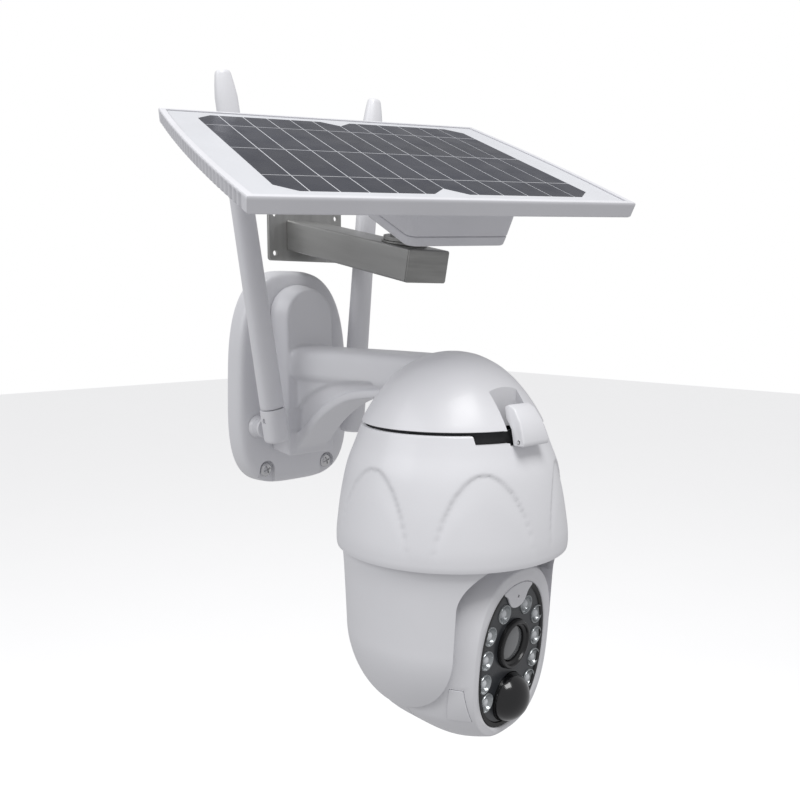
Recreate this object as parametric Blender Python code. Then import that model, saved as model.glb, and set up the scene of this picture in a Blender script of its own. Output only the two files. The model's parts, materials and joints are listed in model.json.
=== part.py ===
"""Solar-powered pan and tilt security camera on a wall plate, with its panel on a bracket above.

Metres, +Z up. The wall is the plane y = 0 and the camera looks along -Y, with +X to the right for
someone who faces the wall. The origin is the centre of the wall plate's back face.
"""

import math

import bmesh
import bpy
from mathutils import Matrix, Vector

MM = 0.001
GAP = 0.3 * MM  # left between pieces that touch
WALL = 2.4 * MM  # moulded wall thickness

# Wall plate and arm
PLATE_WIDTH = 90.5 * MM
PLATE_HEIGHT = 144.0 * MM
PLATE_DEPTH = 14.4 * MM
PLATE_TAPER = 0.05  # how much narrower the plate is at its top
PLATE_SCREW_X = 25.0 * MM
PLATE_SCREW_Z = -61.0 * MM
BOSS_FRONT = -31.0 * MM
ARM_HALF_WIDTH = 17.5 * MM
ARM_TOP = 22.0 * MM
ARM_BOTTOM = -1.0 * MM
ARM_END = -149.0 * MM

# Antennas
CONNECTOR_X = 32.0 * MM
CONNECTOR_Z = -31.0 * MM
ANTENNA_Y = -35.0 * MM
LEFT_LEAN = 8.7  # degrees from upright, outwards
RIGHT_LEAN = 5.5

# Head
HEAD_Y = -161.7 * MM
CAP_TOP = 24.0 * MM
CAP_BOTTOM = -14.2 * MM
SHELL_TOP = -16.0 * MM
SHELL_BOTTOM = -82.6 * MM
SHELL_RADIUS = 65.0 * MM
BASE_TOP = -72.0 * MM
BASE_THICKNESS = 2.5 * MM
LATCH_HINGE_Z = -19.4 * MM
LATCH_HALF_WIDTH = 10.5 * MM
RECESS_BACK = 36.5 * MM  # from the head's axis to the back of the latch recess

# Pan head
PAN_AT_REST = 6.3  # degrees, turned towards +X
BOWL_TOP = -76.2 * MM
BOWL_SPHERE_Z = -126.5 * MM
BOWL_RADIUS = 59.5 * MM
SLOT_HALF_WIDTH = 46.3 * MM
PAN_TEETH = 34
PAN_PINION_TEETH = 11
GEAR_MODULE = 1.5 * MM

# Tilt module
TILT_Z = -136.0 * MM
TILT_AT_REST = 5.0  # degrees below level
MODULE_RADIUS = 54.3 * MM
MODULE_HALF_WIDTH = 45.6 * MM
FACE_DEPTH = 42.9 * MM
FACE_HALF_WIDTH = 35.0 * MM
FACE_HALF_HEIGHT = 46.0 * MM
FACE_Z = 2.3 * MM
UNDERSIDE = 0.91  # how much flatter the module is below its axis
WINDOW_HALF_WIDTH = 30.0 * MM
WINDOW_HALF_HEIGHT = 40.5 * MM
WINDOW_Z = 0.6 * MM
LENS_Z = 6.8 * MM
PIR_Z = -24.0 * MM
PIR_RADIUS = 13.4 * MM
TILT_TEETH = 18
TILT_PINION_TEETH = 9

# Panel bracket
FLANGE_WIDTH = 62.0 * MM
FLANGE_HEIGHT = 36.0 * MM
FLANGE_THICKNESS = 2.5 * MM
TUBE_X = 18.5 * MM
TUBE_Z = 96.8 * MM  # where the tube's centre line meets the wall
TUBE_WIDTH = 33.0 * MM
TUBE_HEIGHT = 19.8 * MM
TUBE_RAKE = 11.5  # degrees down towards the front
TUBE_REACH = 122.0 * MM

# Panel
PANEL_CENTRE = Vector((-33.0, -144.0, 129.1)) * MM
PANEL_LENGTH = 202.0 * MM
PANEL_WIDTH = 168.5 * MM
PANEL_THICKNESS = 8.2 * MM
PANEL_BULGE = 3.0 * MM
PANEL_YAW = 15.0
PANEL_TILT = 22.5
PANEL_ROLL = 2.3
KNUCKLE_BACK = 22.0 * MM  # from the tube's front end to the swivel axis
PIN_HEIGHT = 14.0 * MM  # tilt pin above the tube's top
BOX_BOTTOM = -51.0 * MM
LID_TOP = -45.4 * MM
BOX_U = 53.0 * MM
BOX_V = 27.5 * MM
BOX_BOTTOM_HALF = (33.6 * MM, 30.0 * MM)
BOX_TOP_HALF = (37.6 * MM, 35.0 * MM)


def clear_scene():
    for obj in list(bpy.data.objects):
        bpy.data.objects.remove(obj, do_unlink=True)


def material(name, color, roughness, metallic=0.0):
    made = bpy.data.materials.new(name)
    made.use_nodes = True
    shader = made.node_tree.nodes["Principled BSDF"]
    shader.inputs["Base Color"].default_value = (*color, 1.0)
    shader.inputs["Roughness"].default_value = roughness
    shader.inputs["Metallic"].default_value = metallic
    return made


def object_from(name, mesh_data, finish=None, parent=None, smooth=True):
    """A named object from a bmesh, with its normals pointing out."""
    bmesh.ops.remove_doubles(mesh_data, verts=mesh_data.verts, dist=1e-7)
    bmesh.ops.recalc_face_normals(mesh_data, faces=mesh_data.faces)
    mesh = bpy.data.meshes.new(name)
    mesh_data.to_mesh(mesh)
    mesh_data.free()
    obj = bpy.data.objects.new(name, mesh)
    bpy.context.scene.collection.objects.link(obj)
    obj.parent = parent
    if finish:
        mesh.materials.append(finish)
    if smooth:
        mesh.shade_smooth()
        mesh.set_sharp_from_angle(angle=math.radians(35))
    return obj


def empty(name, matrix, parent=None):
    made = bpy.data.objects.new(name, None)
    bpy.context.scene.collection.objects.link(made)
    made.parent = parent
    made.matrix_local = matrix
    return made


def loft(name, rings, finish=None, parent=None, smooth=True):
    """A closed solid through rings of points, capped at both ends."""
    data = bmesh.new()
    loops = [[data.verts.new(point) for point in ring] for ring in rings]
    count = len(loops[0])
    for lower, upper in zip(loops, loops[1:]):
        for i in range(count):
            j = (i + 1) % count
            data.faces.new((lower[i], lower[j], upper[j], upper[i]))
    data.faces.new(list(reversed(loops[0])))
    data.faces.new(loops[-1])
    return object_from(name, data, finish, parent, smooth)


def turned(name, profile, finish=None, parent=None, segments=32, place=None):
    """A closed solid of revolution about Z. The profile is a closed outline of (radius, z)."""
    data = bmesh.new()
    axis = [data.verts.new((0, 0, z)) if r == 0 else None for r, z in profile]
    rings = []
    for k in range(segments):
        angle = 2 * math.pi * k / segments
        ring = []
        for (r, z), centre in zip(profile, axis):
            point = (r * math.cos(angle), r * math.sin(angle), z)
            ring.append(centre or data.verts.new(point))
        rings.append(ring)
    count = len(profile)
    for k in range(segments):
        here, there = rings[k], rings[(k + 1) % segments]
        for i in range(count):
            j = (i + 1) % count
            corners = []
            for corner in (here[i], there[i], there[j], here[j]):
                if corner not in corners:
                    corners.append(corner)
            if len(corners) > 2:
                data.faces.new(corners)
    obj = object_from(name, data, finish, parent)
    if place:
        obj.matrix_local = place
    return obj


def prism(name, outline, low, high, finish=None, parent=None, place=None, smooth=True):
    """An outline in XY raised from low to high along Z."""
    rings = [[(x, y, z) for x, y in outline] for z in (low, high)]
    obj = loft(name, rings, finish, parent, smooth)
    if place:
        obj.matrix_local = place
    return obj


def box(name, low, high, finish=None, parent=None, bevel=0.0):
    outline = [(low[0], low[1]), (high[0], low[1]), (high[0], high[1]), (low[0], high[1])]
    obj = prism(name, outline, low[2], high[2], finish, parent, smooth=False)
    if bevel:
        rounding = obj.modifiers.new("rounding", "BEVEL")
        rounding.width = bevel
        rounding.segments = 2
    return obj


def circle(radius, count=20, centre=(0.0, 0.0)):
    return [
        (
            centre[0] + radius * math.cos(2 * math.pi * k / count),
            centre[1] + radius * math.sin(2 * math.pi * k / count),
        )
        for k in range(count)
    ]


def rounded(value, power):
    """A sine or cosine bent towards a squarer outline as power grows."""
    return math.copysign(abs(value) ** (2 / power), value)


def oval(half_x, half_y, power=2.0, count=28, centre=(0.0, 0.0)):
    return [
        (
            centre[0] + half_x * rounded(math.cos(2 * math.pi * k / count), power),
            centre[1] + half_y * rounded(math.sin(2 * math.pi * k / count), power),
        )
        for k in range(count)
    ]


def rounded_box_outline(half_x, half_y, radius, centre=(0.0, 0.0), steps=3):
    points = []
    for turn, (sx, sy) in enumerate(((1, 1), (-1, 1), (-1, -1), (1, -1))):
        for k in range(steps + 1):
            angle = math.pi / 2 * (turn + k / steps)
            x = sx * (half_x - radius) + radius * math.cos(angle)
            y = sy * (half_y - radius) + radius * math.sin(angle)
            points.append((centre[0] + x, centre[1] + y))
    return points


def gear_outline(teeth, module):
    """Straight-flanked teeth, slightly thin so that a pair runs free."""
    pitch_radius = teeth * module / 2
    points = []
    for k in range(teeth):
        middle = 2 * math.pi * k / teeth
        for share, radius in (
            (-0.26, pitch_radius - 1.2 * module),
            (-0.12, pitch_radius + 0.8 * module),
            (0.12, pitch_radius + 0.8 * module),
            (0.26, pitch_radius - 1.2 * module),
        ):
            angle = middle + share * 2 * math.pi / teeth
            points.append((radius * math.cos(angle), radius * math.sin(angle)))
    return points


def boolean(obj, other, operation, solver="EXACT"):
    """Cuts other from obj, or joins it on. The other object becomes a hidden helper."""
    change = obj.modifiers.new(f"{operation.lower()}_{other.name}", "BOOLEAN")
    change.operation = operation
    change.object = other
    change.solver = solver
    other.hide_render = True
    other.display_type = "WIRE"
    return obj


def cut(obj, *others):
    for other in others:
        boolean(obj, other, "DIFFERENCE")
    return obj


def join(obj, *others):
    for other in others:
        boolean(obj, other, "UNION")
    return obj


def along_x(centre):
    """Places something modelled along Z so that it points along +X."""
    return Matrix.Translation(centre) @ Matrix.Rotation(math.pi / 2, 4, "Y")


def along_front(centre):
    """Places something modelled along Z so that it points along -Y, with its Y up."""
    return Matrix.Translation(centre) @ Matrix.Rotation(math.pi / 2, 4, "X")


FINISHES = {
    "white_plastic": ((0.86, 0.86, 0.88), 0.38, 0.0),
    "soft_rubber": ((0.05, 0.05, 0.055), 0.7, 0.0),
    "steel": ((0.55, 0.55, 0.56), 0.32, 1.0),
    "screw_steel": ((0.72, 0.72, 0.72), 0.25, 1.0),
    "black_plastic": ((0.02, 0.02, 0.022), 0.25, 0.0),
    "smoked_window": ((0.06, 0.065, 0.075), 0.08, 0.0),
    "lens_glass": ((0.12, 0.13, 0.15), 0.05, 0.0),
    "led_board": ((0.045, 0.05, 0.058), 0.45, 0.0),
    "circuit_board": ((0.03, 0.16, 0.08), 0.5, 0.0),
    "battery_sleeve": ((0.05, 0.22, 0.45), 0.4, 0.0),
    "motor_can": ((0.6, 0.6, 0.6), 0.35, 1.0),
    "gear_plastic": ((0.75, 0.74, 0.70), 0.5, 0.0),
    "brass": ((0.72, 0.55, 0.25), 0.3, 1.0),
    "solar_cells": ((0.03, 0.035, 0.05), 0.15, 0.0),
}


def plate_outline(inset, y, count=36):
    """The wall plate's outline at a depth: squarer at the bottom, narrower at the top."""
    points = []
    for k in range(count):
        angle = 2 * math.pi * k / count
        power = 2.8 if math.sin(angle) > 0 else 3.6
        z = (PLATE_HEIGHT / 2 - inset) * rounded(math.sin(angle), power)
        x = (PLATE_WIDTH / 2 - inset) * rounded(math.cos(angle), power)
        points.append((x * (1 - PLATE_TAPER * z / (PLATE_HEIGHT / 2)), y, z))
    return points


def make_wall_plate(finish):
    depth = PLATE_DEPTH
    levels = ((0, 0), (0.3, 0.62), (1.5, 0.86), (4.6, 1.0))
    plate = loft(
        "wall_plate",
        [plate_outline(inset * MM, -share * depth) for inset, share in levels],
        finish["white_plastic"],
    )
    recess = loft(
        "plate_recess",
        [plate_outline(4.0 * MM, y) for y in (1.0 * MM, -7.0 * MM)],
    )
    notch = prism(
        "plate_cable_notch",
        [(-4 * MM, -12 * MM)] + circle(4 * MM, 16)[:9][::-1] + [(4 * MM, -12 * MM)],
        -4.0 * MM,
        8.5 * MM,
        place=along_front((0, 0, -65 * MM)),
    )
    rib = box("plate_middle_rib", (-5 * MM, -20 * MM, -100 * MM), (5 * MM, 20 * MM, 100 * MM))
    cut(recess, rib)
    cut(plate, recess, notch)
    for side in (-1, 1):
        bore = prism(
            f"plate_screw_bore_{side}",
            circle(2.4 * MM, 12),
            -2 * MM,
            20 * MM,
            place=along_front((side * PLATE_SCREW_X, 0, PLATE_SCREW_Z)),
        )
        pocket = prism(
            f"plate_screw_pocket_{side}",
            circle(6.0 * MM, 16),
            11.2 * MM,
            20 * MM,
            place=along_front((side * PLATE_SCREW_X, 0, PLATE_SCREW_Z)),
        )
        cut(plate, bore, pocket)
        hole = prism(
            f"plate_connector_bore_{side}",
            circle(3.3 * MM, 12),
            -2 * MM,
            20 * MM,
            place=along_front((side * CONNECTOR_X, 0, CONNECTOR_Z)),
        )
        cut(plate, hole)
    return plate


def make_plate_screws(finish):
    for side, name in ((-1, "plate_screw_left"), (1, "plate_screw_right")):
        profile = [
            (0, 14.4 * MM),
            (3.2 * MM, 14.1 * MM),
            (4.6 * MM, 13.0 * MM),
            (4.7 * MM, 11.5 * MM),
            (2.0 * MM, 11.5 * MM),
            (2.0 * MM, 3.0 * MM),
            (0, 1.0 * MM),
        ]
        turned(
            name,
            profile,
            finish["screw_steel"],
            segments=20,
            place=along_front((side * PLATE_SCREW_X, 0, PLATE_SCREW_Z)),
        )


def make_arm(finish):
    """Boss on the plate, the arm and the curved web below it, as one moulding."""
    arch = [(-19 * MM, -50 * MM), (19 * MM, -50 * MM)]
    arch += [
        (19 * MM * math.cos(math.pi * k / 12), 41 * MM + 19 * MM * math.sin(math.pi * k / 12))
        for k in range(13)
    ]
    boss = loft(
        "arm_bracket",
        [
            [(x * share, y, z - (1 - share) * 20 * MM) for x, z in arch]
            for share, y in ((1.12, -14.7 * MM), (1.1, -20 * MM), (1.0, -28 * MM), (0.93, BOSS_FRONT))
        ],
        finish["white_plastic"],
    )
    middle = (ARM_TOP + ARM_BOTTOM) / 2
    half = (ARM_TOP - ARM_BOTTOM) / 2
    ends = ((-24 * MM, 1.0), (-60 * MM, 1.0), (-110 * MM, 1.0), (ARM_END, 0.95))
    tube = loft(
        "arm_tube",
        [
            [(x, y, z) for x, z in oval(ARM_HALF_WIDTH * k, half * k, 3.4, 24, (0, middle))]
            for y, k in ends
        ],
    )
    web_side = [
        (-25 * MM, 12 * MM),
        (-25 * MM, -49 * MM),
        (-34 * MM, -44 * MM),
        (-42 * MM, -36 * MM),
        (-52 * MM, -27 * MM),
        (-67 * MM, -17 * MM),
        (-87 * MM, -9 * MM),
        (-116 * MM, -5 * MM),
        (-116 * MM, 12 * MM),
    ]
    web = loft("arm_web", [[(x, y, z) for y, z in web_side] for x in (-12.5 * MM, 12.5 * MM)])
    join(boss, tube, web)
    return boss


def arm_clearance():
    """The space that the arm takes where it enters the cap."""
    middle = (ARM_TOP + ARM_BOTTOM) / 2
    half = (ARM_TOP - ARM_BOTTOM) / 2 + GAP
    return loft(
        "arm_clearance",
        [
            [(x, y, z) for x, z in oval(ARM_HALF_WIDTH + GAP, half, 3.4, 24, (0, middle))]
            for y in (-90 * MM, ARM_END - GAP)
        ],
    )


def web_clearance():
    return box("web_clearance", (-13 * MM, -117 * MM, -20 * MM), (13 * MM, -90 * MM, 13 * MM))


def make_antenna(side, name, lean, finish):
    """A connector on the plate, a knuckle that swivels about it, and a rod pinned in the knuckle."""
    x = side * CONNECTOR_X
    turned(
        f"antenna_connector_{name}",
        [
            (0, 26.5 * MM),
            (2.6 * MM, 26.5 * MM),
            (2.6 * MM, 24.0 * MM),
            (6.0 * MM, 24.0 * MM),
            (6.6 * MM, 22.5 * MM),
            (6.6 * MM, 17.0 * MM),
            (7.6 * MM, 15.6 * MM),
            (7.6 * MM, 14.7 * MM),
            (3.0 * MM, 14.7 * MM),
            (3.0 * MM, 8.0 * MM),
            (0, 8.0 * MM),
        ],
        finish["white_plastic"],
        segments=20,
        place=along_front((x, 0, CONNECTOR_Z)),
    )
    turn = Matrix.Rotation(math.radians(-side * -lean), 4, "Y")
    swivel = empty(f"antenna_swivel_{name}", Matrix.Translation((x, ANTENNA_Y, CONNECTOR_Z)) @ turn)
    knuckle = loft(
        f"antenna_knuckle_{name}",
        [
            [(px, py, z) for px, py in oval(7.6 * MM * k, 7.6 * MM * k, 2.6, 20)]
            for z, k in ((-7.5 * MM, 0.86), (-6.0 * MM, 1.0), (14.0 * MM, 1.0))
        ],
        finish["white_plastic"],
        swivel,
    )
    socket = prism(
        f"knuckle_socket_{name}",
        circle(2.9 * MM, 20),
        -20 * MM,
        -6.0 * MM,
        parent=swivel,
        place=along_front((0, 0, 0)),
    )
    slot = box(
        f"knuckle_slot_{name}",
        (-4.4 * MM, -3.9 * MM, 1.0 * MM),
        (4.4 * MM, 3.9 * MM, 20 * MM),
        parent=swivel,
    )
    pin_bore = prism(
        f"knuckle_pin_bore_{name}",
        circle(1.8 * MM, 16),
        -12 * MM,
        12 * MM,
        parent=swivel,
        place=along_x((0, 0, 7.5 * MM)),
    )
    cut(knuckle, socket, slot, pin_bore)
    shapes = (
        (14.4, 7.6),
        (16.5, 7.9),
        (60, 7.7),
        (150, 7.2),
        (203, 7.0),
        (214, 6.2),
        (219, 4.0),
        (220, 1.6),
    )
    rod = loft(
        f"antenna_rod_{name}",
        [
            [(px, py, z * MM) for px, py in oval(half * MM, half * 0.78 * MM, 2.4, 20)]
            for z, half in shapes
        ],
        finish["white_plastic"],
        swivel,
    )
    tongue = box(
        f"rod_tongue_{name}",
        (-4.1 * MM, -3.6 * MM, 3.6 * MM),
        (4.1 * MM, 3.6 * MM, 20 * MM),
        parent=swivel,
    )
    pin = prism(
        f"rod_pin_{name}",
        circle(1.5 * MM, 16),
        -6.5 * MM,
        6.5 * MM,
        parent=swivel,
        place=along_x((0, 0, 7.5 * MM)),
    )
    join(rod, tongue, pin)


SHELL_OUTER = (
    (64.6, -82.6),
    (65.0, -79.0),
    (64.6, -70.5),
    (62.2, -53.5),
    (58.8, -37.7),
    (54.2, -25.4),
    (50.7, -16.0),
)
CAP_OUTER = (
    (50.5, -14.2),
    (48.6, -10.5),
    (44.8, -4.2),
    (39.6, 3.0),
    (33.0, 10.2),
    (25.0, 16.6),
    (15.0, 21.6),
    (6.0, 23.7),
)


def offset_outline(points, inset):
    """Points moved towards the axis by about one wall."""
    return [((r - inset) * MM, z * MM) for r, z in points]


def make_cap(finish):
    outer = offset_outline(CAP_OUTER, 0)
    inner = [(r - WALL, z - 0.6 * WALL) for r, z in outer[1:-1]]
    profile = [(outer[0][0] - WALL, outer[0][1]), outer[0]]
    profile += outer[1:] + [(0, CAP_TOP), (0, CAP_TOP - WALL)] + inner[::-1]
    head = Matrix.Translation((0, HEAD_Y, 0))
    cap = turned("top_cap", profile, finish["white_plastic"], segments=32, place=head)
    pocket = turned(
        "cap_latch_pocket", [(0, CAP_BOTTOM)] + outer + [(0, CAP_TOP)], segments=32, place=head
    )
    pocket_size = box(
        "cap_latch_pocket_size",
        (-LATCH_HALF_WIDTH - 2 * MM, HEAD_Y - 80 * MM, -30 * MM),
        (LATCH_HALF_WIDTH + 2 * MM, HEAD_Y - RECESS_BACK + 2 * MM, 30 * MM),
    )
    boolean(pocket, pocket_size, "INTERSECT")
    join(cap, pocket)
    recess = box(
        "cap_latch_recess",
        (-LATCH_HALF_WIDTH - GAP, HEAD_Y - 80 * MM, -20 * MM),
        (LATCH_HALF_WIDTH + GAP, HEAD_Y - RECESS_BACK, 30 * MM),
    )
    cut(cap, recess, arm_clearance(), web_clearance())
    turned(
        "seam_seal",
        [
            (45.6 * MM, -15.8 * MM),
            (49.4 * MM, -15.8 * MM),
            (49.4 * MM, -14.5 * MM),
            (45.6 * MM, -14.5 * MM),
        ],
        finish["soft_rubber"],
        segments=32,
        place=head,
    )


def make_shell(finish):
    head = Matrix.Translation((0, HEAD_Y, 0))
    outer = offset_outline(SHELL_OUTER, 0)
    inner = offset_outline(SHELL_OUTER, WALL / MM)
    shell = turned(
        "head_shell", outer + inner[::-1], finish["white_plastic"], segments=32, place=head
    )
    notch = box(
        "shell_latch_notch",
        (-LATCH_HALF_WIDTH - GAP, HEAD_Y - 80 * MM, LATCH_HINGE_Z - 2.4 * MM),
        (LATCH_HALF_WIDTH + GAP, HEAD_Y - 40 * MM, -10 * MM),
    )
    cut(shell, notch)
    return shell


def make_latch(finish):
    """The snap catch across the seam. It swings out about a pin in the shell's notch."""
    side = [
        (-52.6, LATCH_HINGE_Z / MM - 2.1),
        (-59.4, LATCH_HINGE_Z / MM - 2.1),
        (-59.8, -19.0),
        (-56.0, -9.5),
        (-51.6, -3.2),
        (-47.4, -1.0),
        (-44.6, -2.4),
        (-46.2, -8.0),
        (-50.4, -13.4),
    ]
    narrow = 0.78
    rings = []
    for end in (-1, 1):
        ring = []
        for y, z in side:
            share = (z * MM - LATCH_HINGE_Z) / (-1.0 * MM - LATCH_HINGE_Z)
            half = (LATCH_HALF_WIDTH - GAP) * (1 - (1 - narrow) * max(0.0, share))
            ring.append((end * half, HEAD_Y + y * MM, z * MM))
        rings.append(ring)
    latch = loft("latch", rings, finish["white_plastic"], smooth=False)
    bore = prism(
        "latch_bore",
        circle(1.1 * MM, 16),
        -20 * MM,
        20 * MM,
        place=along_x((0, HEAD_Y - 56.0 * MM, LATCH_HINGE_Z)),
    )
    cut(latch, bore)
    prism(
        "latch_pin",
        circle(0.8 * MM, 16),
        -LATCH_HALF_WIDTH,
        LATCH_HALF_WIDTH,
        finish["screw_steel"],
        place=along_x((0, HEAD_Y - 56.0 * MM, LATCH_HINGE_Z)),
    )
    return latch


def make_head_inside(finish):
    """Floor of the shell with the pan motor on it, the circuit board and the cells above."""
    head = Matrix.Translation((0, HEAD_Y, 0))
    low = BASE_TOP - BASE_THICKNESS
    base = turned(
        "pan_base",
        [(61.8 * MM, low), (61.8 * MM, BASE_TOP), (13.2 * MM, BASE_TOP), (13.2 * MM, low)],
        finish["white_plastic"],
        segments=32,
        place=head,
    )
    pan_pitch = (PAN_TEETH + PAN_PINION_TEETH) / 2 * GEAR_MODULE
    for side in (-1, 1):
        post = prism(
            f"motor_post_{side}",
            circle(3.2 * MM, 16, (side * 17.5 * MM, pan_pitch)),
            BASE_TOP - 1 * MM,
            -61.3 * MM,
            place=head,
        )
        join(base, post)
    turned(
        "pan_bearing",
        [
            (10.4 * MM, -74.4 * MM),
            (12.9 * MM, -74.4 * MM),
            (12.9 * MM, -72.2 * MM),
            (10.4 * MM, -72.2 * MM),
        ],
        finish["brass"],
        segments=32,
        place=head,
    )
    motor = prism(
        "pan_motor",
        circle(14 * MM, 24, (0, pan_pitch)),
        -61.0 * MM,
        -43.0 * MM,
        finish["motor_can"],
        place=head,
    )
    ears = prism(
        "pan_motor_ears",
        rounded_box_outline(21 * MM, 3.5 * MM, 3.4 * MM, (0, pan_pitch)),
        -61.0 * MM,
        -60.0 * MM,
        place=head,
    )
    join(motor, ears)
    board = prism(
        "main_board",
        circle(47 * MM, 32),
        -39.0 * MM,
        -37.4 * MM,
        finish["circuit_board"],
        place=head,
    )
    room = box("board_room", (-20 * MM, HEAD_Y - 70 * MM, -50 * MM), (20 * MM, HEAD_Y - 45 * MM, -30 * MM))
    cut(board, room)
    for k in range(2):
        x = (k - 0.5) * 19.4 * MM
        turned(
            f"battery_cell_{k + 1}",
            [
                (0, -32.5 * MM),
                (9.0 * MM, -32.5 * MM),
                (9.0 * MM, 32.5 * MM),
                (3.0 * MM, 32.5 * MM),
                (3.0 * MM, 33.8 * MM),
                (0, 33.8 * MM),
            ],
            finish["battery_sleeve"],
            segments=20,
            place=along_front((x, HEAD_Y + 3 * MM, -27.0 * MM)),
        )


def bowl_profile():
    """Outer outline of the pan bowl from its top rim to its lowest point."""
    points = [(60.4 * MM, BOWL_TOP), (61.5 * MM, -84.0 * MM), (60.4 * MM, -105.0 * MM)]
    steps = 10
    for k in range(steps + 1):
        angle = math.pi / 2 * k / steps
        r = 0 if k == steps else BOWL_RADIUS * math.cos(angle)
        points.append((r, BOWL_SPHERE_Z - BOWL_RADIUS * math.sin(angle)))
    return points


def make_pan_bowl(finish, pan):
    bowl = turned(
        "pan_bowl",
        [(0, BOWL_TOP)] + bowl_profile(),
        finish["white_plastic"],
        pan,
        segments=32,
    )
    inside = turned(
        "bowl_inside",
        [(0, -78.8 * MM)]
        + [(max(0.0, r - 2.6 * MM), max(z + 2.6 * MM, -400 * MM)) for r, z in bowl_profile()[1:-1]]
        + [(0, BOWL_SPHERE_Z - BOWL_RADIUS + 2.6 * MM)],
        parent=pan,
        segments=32,
    )
    inside_slab = box(
        "bowl_inside_slab",
        (-SLOT_HALF_WIDTH, -80 * MM, -200 * MM),
        (SLOT_HALF_WIDTH, 80 * MM, -70 * MM),
        parent=pan,
    )
    boolean(inside, inside_slab, "INTERSECT")
    top = -79.8 * MM
    radius = 24 * MM
    arch = [(SLOT_HALF_WIDTH, -220 * MM)]
    for turn, side in ((0, 1), (1, -1)):
        for k in range(7):
            angle = math.pi / 2 * (turn + k / 6)
            x = side * (SLOT_HALF_WIDTH - radius) + radius * math.cos(angle)
            arch.append((x, top - radius + radius * math.sin(angle)))
    arch.append((-SLOT_HALF_WIDTH, -220 * MM))
    front = prism("bowl_front_slot", arch, -20 * MM, 90 * MM, parent=pan, place=along_front((0, 0, 0)))
    rear = box(
        "bowl_rear_slot",
        (-SLOT_HALF_WIDTH, 0, -220 * MM),
        (SLOT_HALF_WIDTH, 80 * MM, -139.5 * MM),
        parent=pan,
    )
    hub_bore = prism("bowl_hub_bore", circle(7.3 * MM, 28), -90 * MM, -60 * MM, parent=pan)
    cut(bowl, inside, front, rear, hub_bore)
    for side in (-1, 1):
        pocket = box(
            f"cheek_pocket_{side}",
            (min(side * 49.0, side * 53.0) * MM, -14 * MM, -142 * MM),
            (max(side * 49.0, side * 53.0) * MM, 14 * MM, -60 * MM),
            parent=pan,
        )
        seat = prism(
            f"cheek_seat_{side}",
            circle(4.3 * MM, 24),
            min(side * 44.0, side * 51.0) * MM,
            max(side * 44.0, side * 51.0) * MM,
            parent=pan,
            place=along_x((0, 0, TILT_Z)),
        )
        cut(bowl, pocket, seat)
    return bowl


def make_pan_gears(finish, pan):
    gear = prism(
        "pan_gear",
        gear_outline(PAN_TEETH, GEAR_MODULE),
        -71.6 * MM,
        -66.0 * MM,
        finish["gear_plastic"],
        pan,
        smooth=False,
    )
    hub = turned(
        "pan_hub",
        [
            (4.5 * MM, -79.5 * MM),
            (7.0 * MM, -79.5 * MM),
            (7.0 * MM, -75.9 * MM),
            (10.0 * MM, -75.9 * MM),
            (10.0 * MM, -62.0 * MM),
            (4.5 * MM, -62.0 * MM),
        ],
        parent=pan,
        segments=32,
    )
    bore = prism("pan_gear_bore", circle(4.5 * MM, 32), -90 * MM, -50 * MM, parent=pan)
    join(gear, hub)
    cut(gear, bore)
    pan_pitch = (PAN_TEETH + PAN_PINION_TEETH) / 2 * GEAR_MODULE
    rest = math.radians(PAN_AT_REST)
    turn = pinion_phase(PAN_TEETH, PAN_PINION_TEETH, math.pi / 2 - rest, rest)
    phase = Matrix.Rotation(turn, 4, "Z")
    pinion = prism(
        "pan_pinion",
        gear_outline(PAN_PINION_TEETH, GEAR_MODULE),
        -71.4 * MM,
        -66.0 * MM,
        finish["brass"],
        place=Matrix.Translation((0, HEAD_Y + pan_pitch, 0)) @ phase,
        smooth=False,
    )
    shaft = prism(
        "pan_pinion_shaft",
        circle(2.5 * MM, 16),
        -67.0 * MM,
        -61.4 * MM,
        place=Matrix.Translation((0, HEAD_Y + pan_pitch, 0)),
    )
    join(pinion, shaft)


def pinion_phase(gear_teeth, pinion_teeth, direction, gear_turn):
    """Turn of the pinion, about the gear's axis direction, that puts its tooth gap on the gear's tooth."""
    tooth = 2 * math.pi / gear_teeth
    past = (direction / tooth) % 1.0
    world = direction + gear_turn
    return world + math.pi + (0.5 + past) * 2 * math.pi / pinion_teeth


def module_section(y, inset=0.0, count=30):
    """A ring round the tilt module at depth y: a flat-sided ball behind, easing into the oval face."""
    share = max(0.0, -y / FACE_DEPTH)
    ease = share * share * (3 - 2 * share)
    radius = math.sqrt(max(0.0, MODULE_RADIUS**2 - max(0.0, y) ** 2)) - inset
    flat = MODULE_HALF_WIDTH - inset
    face_x = MODULE_HALF_WIDTH + (FACE_HALF_WIDTH - MODULE_HALF_WIDTH) * share**3.2 - inset
    face_z = MODULE_RADIUS + (FACE_HALF_HEIGHT - MODULE_RADIUS) * share**1.9 - inset
    points = []
    for k in range(count):
        angle = 2 * math.pi * k / count
        ball_x = max(-flat, min(flat, radius * math.cos(angle)))
        ball_z = radius * math.sin(angle)
        oval_x = face_x * rounded(math.cos(angle), 2.6)
        oval_z = face_z * rounded(math.sin(angle), 2.6) + FACE_Z * share
        if ball_z < 0:
            ball_z *= UNDERSIDE
            oval_z *= UNDERSIDE + (1 - UNDERSIDE) * share
        points.append((ball_x + (oval_x - ball_x) * ease, y, ball_z + (oval_z - ball_z) * ease))
    return points


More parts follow.
